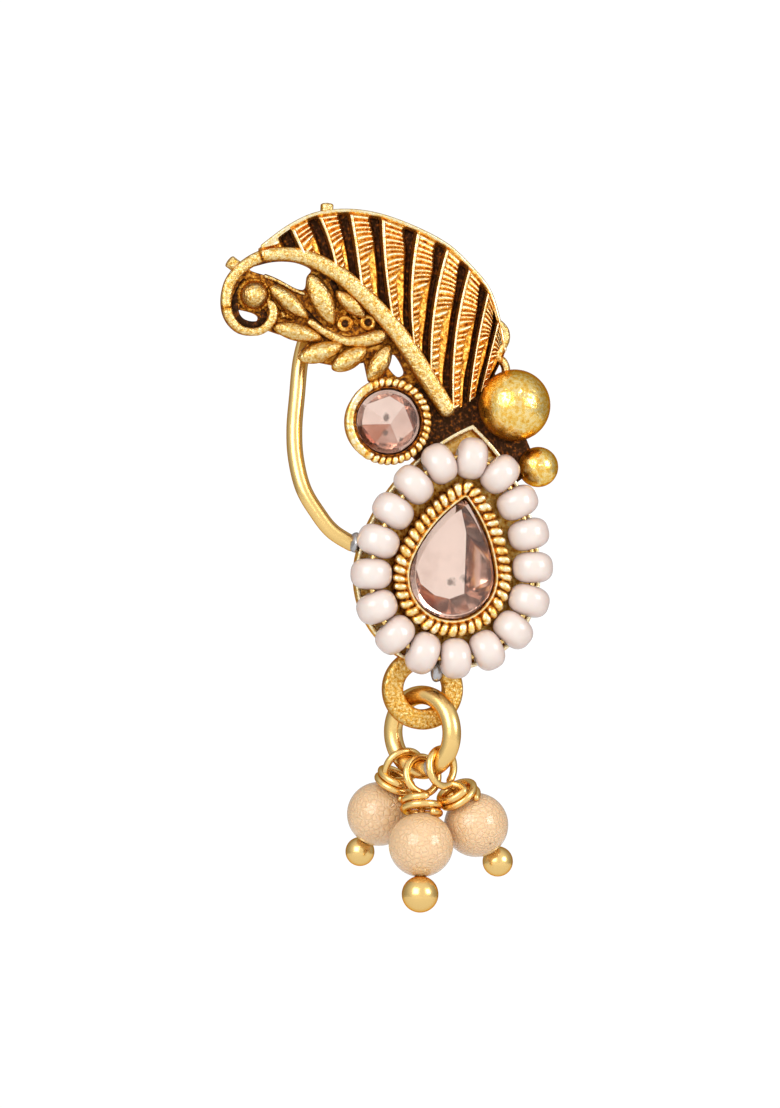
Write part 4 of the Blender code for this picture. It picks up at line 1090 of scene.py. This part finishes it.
middle = with_forward(cup_middle, 0.0)
uneven = ring_line(middle + [0, 0, 1.15], 1.7, 7) \
    + np.random.default_rng(4).uniform(-1, 1, (7, 3)) * [0.20, 0.20, 0.06]
cut_stone("round_cut_stone", np.concatenate([
    ring_line(middle + [0, 0, 2.75], 1.85, 48), ring_line(middle + [0, 0, 2.2], 2.1, 48),
    ring_line(middle + [0, 0, 2.0], 2.1, 48), uneven, [middle + [0.25, -0.15, 1.02]]]),
    "round_stone")

# %% [markdown]
# ## Seventeen pearls on a wire
#
# Each pearl is a short barrel: round the wire it is a circle, and along the wire its outline is
# a superellipse, blunter than an ellipse, because pressed glass pearls have flattened ends. A
# fixed seed makes each one a little different, as sorted beads still are.

# %% Pearls and their wire
PEARLS, PEARL, PEARL_HOLE, PEARL_SHARE, PEARL_FULLNESS = 17, 2.8, 0.9, 0.94, 1.3
RIM_TOP, RIM_INSIDE = 1.1, 0.53        # where a pearl rests: forward, and outward from its wire
PEARL_FORWARD = RIM_TOP + math.sqrt((PEARL / 2) ** 2 - RIM_INSIDE ** 2)
pearl_pitch = pear_length(STRING) / PEARLS
sizes = np.random.default_rng(5)


def bead_profile(width, length, hole, fullness, bands=36):
    """A drilled bead's closed outline: radius w/2 sin(a)^(1/f), height l/2 cos(a)^(1/f)."""
    first = math.asin((hole / width) ** fullness)
    turn = np.linspace(first, np.pi - first, bands + 1)
    radius = width / 2 * np.sin(turn) ** (1 / fullness)
    height = np.sign(np.cos(turn)) * length / 2 * np.abs(np.cos(turn)) ** (1 / fullness)
    bore = np.array([(hole / 2, height[-1]), (hole / 2, height[0]), (radius[0], height[0])])
    return np.concatenate([np.stack([radius, height], axis=-1), bore])


for number in range(PEARLS):
    share = number / PEARLS
    near = pear_line(STRING, np.array([share, share + 0.01, share - 0.01]))[0]
    outline = bead_profile(PEARL * sizes.uniform(0.97, 1.01), pearl_pitch * PEARL_SHARE,
                           PEARL_HOLE, PEARL_FULLNESS)
    piece(f"glass_pearl_{number + 1:02d}",
          [turned(outline, with_forward(near[0], PEARL_FORWARD),
                  with_forward(near[1] - near[2], 0.0), 44)],
          cream_pearl, f"pearl_{number + 1:02d}", sharp=50.0)

string_line = with_forward(pear_line(STRING, np.arange(240) / 240)[0], PEARL_FORWARD)
piece("pearl_string", [swept(string_line, 0.2, 12, closed=True)], wire_gold,
      "pearl_wire")

# %% [markdown]
# ## The nose wire
#
# The wire leaves the tray's rim at a blob of solder, swings out and up, and passes behind the
# leaves. Its free end is hidden there; the nostril goes between it and the casting's back.

# %% Nose wire and solder
HOOP_WIDTH, HOOP_HEIGHT, NOSE_WIRE, HOOP_DEPTH = 4.1, 17.0, 1.07, 2.87
NOSE_LINE = [
    # across, up, back
    (0.00, 0.000, 0.00), (-0.41, 0.059, 0.03), (-0.67, 0.137, 0.10), (-0.886, 0.231, 0.20),
    (-0.99, 0.349, 0.34), (-1.00, 0.463, 0.47), (-0.94, 0.588, 0.64), (-0.86, 0.737, 0.78),
    (-0.715, 0.843, 0.88), (-0.455, 0.937, 0.95), (-0.065, 1.000, 1.00),
]
wire_root = with_forward(tray_at(0.7415)[0], NOSE_WIRE / 2)
nose_shares = through(NOSE_LINE, np.linspace(0, len(NOSE_LINE) - 1, 400))
nose_line = wire_root + nose_shares * [HOOP_WIDTH, HOOP_HEIGHT, -HOOP_DEPTH]
nose_line = along(nose_line, crowded(240))
swollen = 1.0 + 0.15 * ease(np.linspace(0, 1, len(nose_line)), 0.90, 0.97)
piece("nose_wire", [swept(nose_line, blunt(nose_line, NOSE_WIRE / 2) * swollen, 32)],
      wire_gold, "soldered_frame")

loop_root = tray_at(0.4925)[0]
solder = []
for seed, spot, stretch in ((1, wire_root + [-0.28, 0.28, 0.25], (0.78, 1.3, 1.1)),
                            (2, with_forward(loop_root, 0.7), (0.85, 1.5, 1.0))):
    swell = np.random.default_rng(seed)
    bumps = [(swell.normal(size=3), 0.25, -swell.uniform(0.02, 0.08)) for _ in range(8)]
    solder.append(ball_skin(spot, 0.5, bumps, 36, 24, stretch, patina=1.0))
piece("solder_drops", solder, tin_solder, "soldered_frame")

# %% [markdown]
# ## Loop and jump ring
#
# The cast loop is a flat ring with its corners rounded off, satin like the rachis. The jump
# ring is plain round wire, hung in the loop and turned, so that it is seen at a slant. Low on it
# a grey collar of tin solder closes its ends.

# %% Loop and jump ring
loop_spot, loop_out = tray_at(0.5065)
loop_middle = with_forward(loop_spot + loop_out * 1.4, 0.3)
LOOP_OUTER, LOOP_INNER, LOOP_DEPTH = 5.4, 2.7, 1.2
corner = 0.28
rise = LOOP_DEPTH / 2 - corner
quarter = np.linspace(0, np.pi / 2, 8)
outer = np.stack([LOOP_OUTER / 2 - corner + corner * np.cos(quarter),
                  rise + corner * np.sin(quarter)], axis=-1)
inner = np.stack([LOOP_INNER / 2 + corner - corner * np.sin(quarter),
                  rise + corner * np.cos(quarter)], axis=-1)
half = np.concatenate([outer, inner])
section = np.concatenate([half, half[::-1] * [1, -1]])
section = np.concatenate([section, section[:1]])
loop_patina = np.where(section[:, 1] > 0, 0.82, PLAIN_BACK)[:, None]
cast("cast_loop", [turned(section, loop_middle, FORWARD, 96, patina=loop_patina)], satin_gold)

JUMP_RING, JUMP_WIRE, JUMP_LIFT = 5.0, 1.25, 0.34
JUMP_TURN = math.radians(49.0)
level = np.array([math.cos(JUMP_TURN), 0.0, math.sin(JUMP_TURN)])
jump_middle = loop_middle + [0.0, -LOOP_INNER / 2 + JUMP_WIRE / 2 + JUMP_LIFT - JUMP_RING / 2,
                             0.0]
UP = np.array([0.0, 1.0, 0.0])


def jump_points(degrees):
    """Points of the jump ring: middle + r (sin a level - cos a up), from its lowest point."""
    turn = np.radians(np.asarray(degrees, float))[..., None]
    return jump_middle + JUMP_RING / 2 * (np.sin(turn) * level - np.cos(turn) * UP)


piece("bright_jump_ring", [swept(jump_points(np.arange(180) * 2.0), JUMP_WIRE / 2, 36,
                                 facing=np.cross(level, UP), closed=True)],
      wire_gold, "jump_ring")
joint = jump_points(np.linspace(12.0, 24.0, 25))
collar = 0.55 + 0.09 * blunt(joint, 0.2) / 0.2
piece("jump_ring_joint", [swept(joint, collar, 36, facing=np.cross(level, UP), patina=1.0)],
      tin_solder, "jump_ring")

# %% [markdown]
# ## Three drops
#
# A head pin goes up through each bead, bends into an open eye round the jump ring, and comes
# back down in two turns of wrap. The pin is one wire from ball to tail, so it is one sweep.
# The direction that its frames lean on changes from the ring's, round the eye, to the pin's
# own, round the wrap, and blends between the two.

# %% Pins and drop beads
DROPS = {
    # eye in degrees, then the bead's middle as shares of its reach: across, up, forward, and
    # last the radius of the foot ball
    "left": (-36.0, (-0.327, -0.748, -0.390), 0.98),
    "middle": (0.0, (-0.042, -1.000, 0.162), 1.22),
    "right": (36.0, (0.502, -0.838, -0.054), 1.02),
}
BEAD, BEAD_HOLE, DROP_REACH = 4.3, 0.8, 7.43
PIN, EYE, WRAP, TURNS = 0.25, 1.25, 1.2, 2.0
EYE_TURN = math.radians(25.0)
SHANK, ROUND_EYE, WRAPPED, SMOOTHED = 60, 90, 120, 11      # how many points each stretch has
TURNING = 12                 # points over which the frame's lean goes from eye to wrap
for name, (eye, shares, foot_ball) in DROPS.items():
    wire = jump_points(eye)
    bead = jump_middle + DROP_REACH * np.array(shares)
    up = unit(wire - bead)
    ring = unit(jump_points(eye + 1.0) - jump_points(eye - 1.0))
    ring = unit(ring - up * (ring @ up))
    side = np.cross(up, ring)
    ring, side = (math.cos(EYE_TURN) * ring - math.sin(EYE_TURN) * side,
                  math.cos(EYE_TURN) * side + math.sin(EYE_TURN) * ring)
    eye_middle = wire - up * (EYE - PIN - JUMP_WIRE / 2)
    foot = -math.sqrt((BEAD / 2) ** 2 - (BEAD_HOLE / 2) ** 2) - foot_ball
    rise = math.sqrt((BEAD / 2 + PIN) ** 2 - WRAP ** 2)
    reach = float(np.linalg.norm(eye_middle - bead)) - EYE
    shank = bead + up * np.linspace(foot, reach - 0.2, SHANK)[:, None]
    turn = np.linspace(0.0, TAU, ROUND_EYE)[:, None]
    eye_line = eye_middle + EYE * (np.sin(turn) * side - np.cos(turn) * up) \
        + ring * 0.25 * (turn / np.pi - 1.0)
    turn = np.linspace(0.0, TURNS * TAU, WRAPPED)[:, None]
    wrap = bead + up * (rise + 2.1 * PIN * (TURNS - turn / TAU)) \
        + WRAP * (np.cos(turn) * ring - np.sin(turn) * side)
    line = np.concatenate([shank, eye_line, wrap])
    before = SHANK + ROUND_EYE - TURNING // 2
    lean = np.concatenate([np.tile(ring, (before, 1)),
                           ring + (up - ring) * ease(np.linspace(0, 1, TURNING), 0, 1)[:, None],
                           np.tile(up, (len(line) - before - TURNING, 1))])
    fine = np.linspace(0, len(line) - 1, 520)
    line = np.stack([np.interp(fine, np.arange(len(line)), axis) for axis in line.T], axis=-1)
    lean = np.stack([np.interp(fine, np.arange(len(lean)), axis) for axis in lean.T], axis=-1)
    edge = SMOOTHED // 2
    line[edge:-edge] = np.stack([np.convolve(axis, np.ones(SMOOTHED) / SMOOTHED, mode="valid")
                                 for axis in line.T], axis=-1)
    piece(f"head_pin_{name}", [swept(line, blunt(line, PIN), 18, facing=lean),
                               ball_skin(bead + up * foot, foot_ball, around=72, bands=48)],
          wire_gold, f"drop_pin_{name}", sharp=60.0)
    outline = bead_profile(BEAD, BEAD, BEAD_HOLE, 1.0, 60)
    piece(f"peach_bead_{name}", [turned(outline, bead, up, 96)], peach_pearl,
          f"drop_bead_{name}", sharp=50.0)

# %% [markdown]
# ## Floor and light
#
# The ring hangs over a plain pale table in soft light. Gold has no colour of its own to show
# without something to mirror: the sky here is bright in front and above and dim behind, so that
# every polished form gets a bright band and a dark one. The camera sees plain white behind.

# %% Floor and sky
floor_mesh = bpy.data.meshes.new("pale_floor")
disc = bmesh.new()
bmesh.ops.create_circle(disc, cap_ends=True, segments=128, radius=0.19,
                        matrix=Matrix.Translation((0.0, 0.0, -0.075)))
disc.to_mesh(floor_mesh)
disc.free()
pale_floor = bpy.data.objects.new("pale_floor", floor_mesh)
bpy.context.scene.collection.objects.link(pale_floor)
paint, _, paint_shader, _ = new_finish("pale_studio_paint")
paint_shader.inputs["Base Color"].default_value = colour("#F4F4F4")
paint_shader.inputs["Roughness"].default_value = 0.9
floor_mesh.materials.append(paint)

world = bpy.data.worlds.new("studio")
bpy.context.scene.world = world
world.use_nodes = True
sky = world.node_tree
sky.nodes.clear()
direction = add(sky, "ShaderNodeTexCoord").outputs["Generated"]
front = add(sky, "ShaderNodeVectorMath", {0: direction, 1: (-0.15, -0.90, 0.41)},
            operation="DOT_PRODUCT")
bright = add(sky, "ShaderNodeMapRange", {"Value": front.outputs["Value"], "From Min": -0.30,
                                         "From Max": 0.85, "To Min": 0.40, "To Max": 0.95},
             interpolation_type="SMOOTHSTEP")
dim = add(sky, "ShaderNodeBackground", {"Color": colour("#FFFFFF"), "Strength":
                                        bright.outputs[0]})
white = add(sky, "ShaderNodeBackground", {"Color": colour("#FFFFFF"), "Strength": 1.05})
seen = add(sky, "ShaderNodeLightPath").outputs["Is Camera Ray"]
mixed = add(sky, "ShaderNodeMixShader", {0: seen, 1: dim.outputs[0], 2: white.outputs[0]})
add(sky, "ShaderNodeOutputWorld", {"Surface": mixed.outputs[0]})

# %% Softboxes
for name, spot, width, power in (("softbox_left", (-0.24, -0.30, 0.12), 0.26, 0.72),
                                 ("softbox_right", (0.27, -0.28, 0.09), 0.18, 0.55)):
    lamp = bpy.data.lights.new(name, "AREA")
    lamp.shape, lamp.size, lamp.energy = "SQUARE", width, power
    softbox = bpy.data.objects.new(name, lamp)
    softbox.location = spot
    aim = Vector((0.003, 0.0, -0.018)) - Vector(spot)
    softbox.rotation_euler = aim.to_track_quat("-Z", "Y").to_euler()
    bpy.context.scene.collection.objects.link(softbox)

# %% [markdown]
# ## The camera
#
# The photograph looks as if it was taken level with the jewel and ten degrees to its left. The
# distance of 35 cm is a guess. The lens is chosen so that the picture's height covers 73.87 mm at
# the jewel, which is 15 of the photograph's pixels to the millimetre.

# %% Camera
DISTANCE, VIEW_HEIGHT, SENSOR, AZIMUTH = 0.35, 0.07387, 36.0, math.radians(-10.0)
target = Vector((0.00249, -0.0009, -0.01746))
camera = bpy.data.cameras.new("camera")
camera.sensor_fit = "VERTICAL"
camera.sensor_height = SENSOR
camera.lens = SENSOR * DISTANCE / VIEW_HEIGHT
camera.clip_start, camera.clip_end = 0.01, 20.0
viewer = bpy.data.objects.new("camera", camera)
back_off = Vector((math.sin(AZIMUTH), -math.cos(AZIMUTH), 0.0))
viewer.location = target + back_off * DISTANCE
viewer.rotation_euler = (-back_off).to_track_quat("-Z", "Y").to_euler()
bpy.context.scene.collection.objects.link(viewer)
bpy.context.scene.camera = viewer
bpy.context.scene.view_settings.view_transform = "Standard"
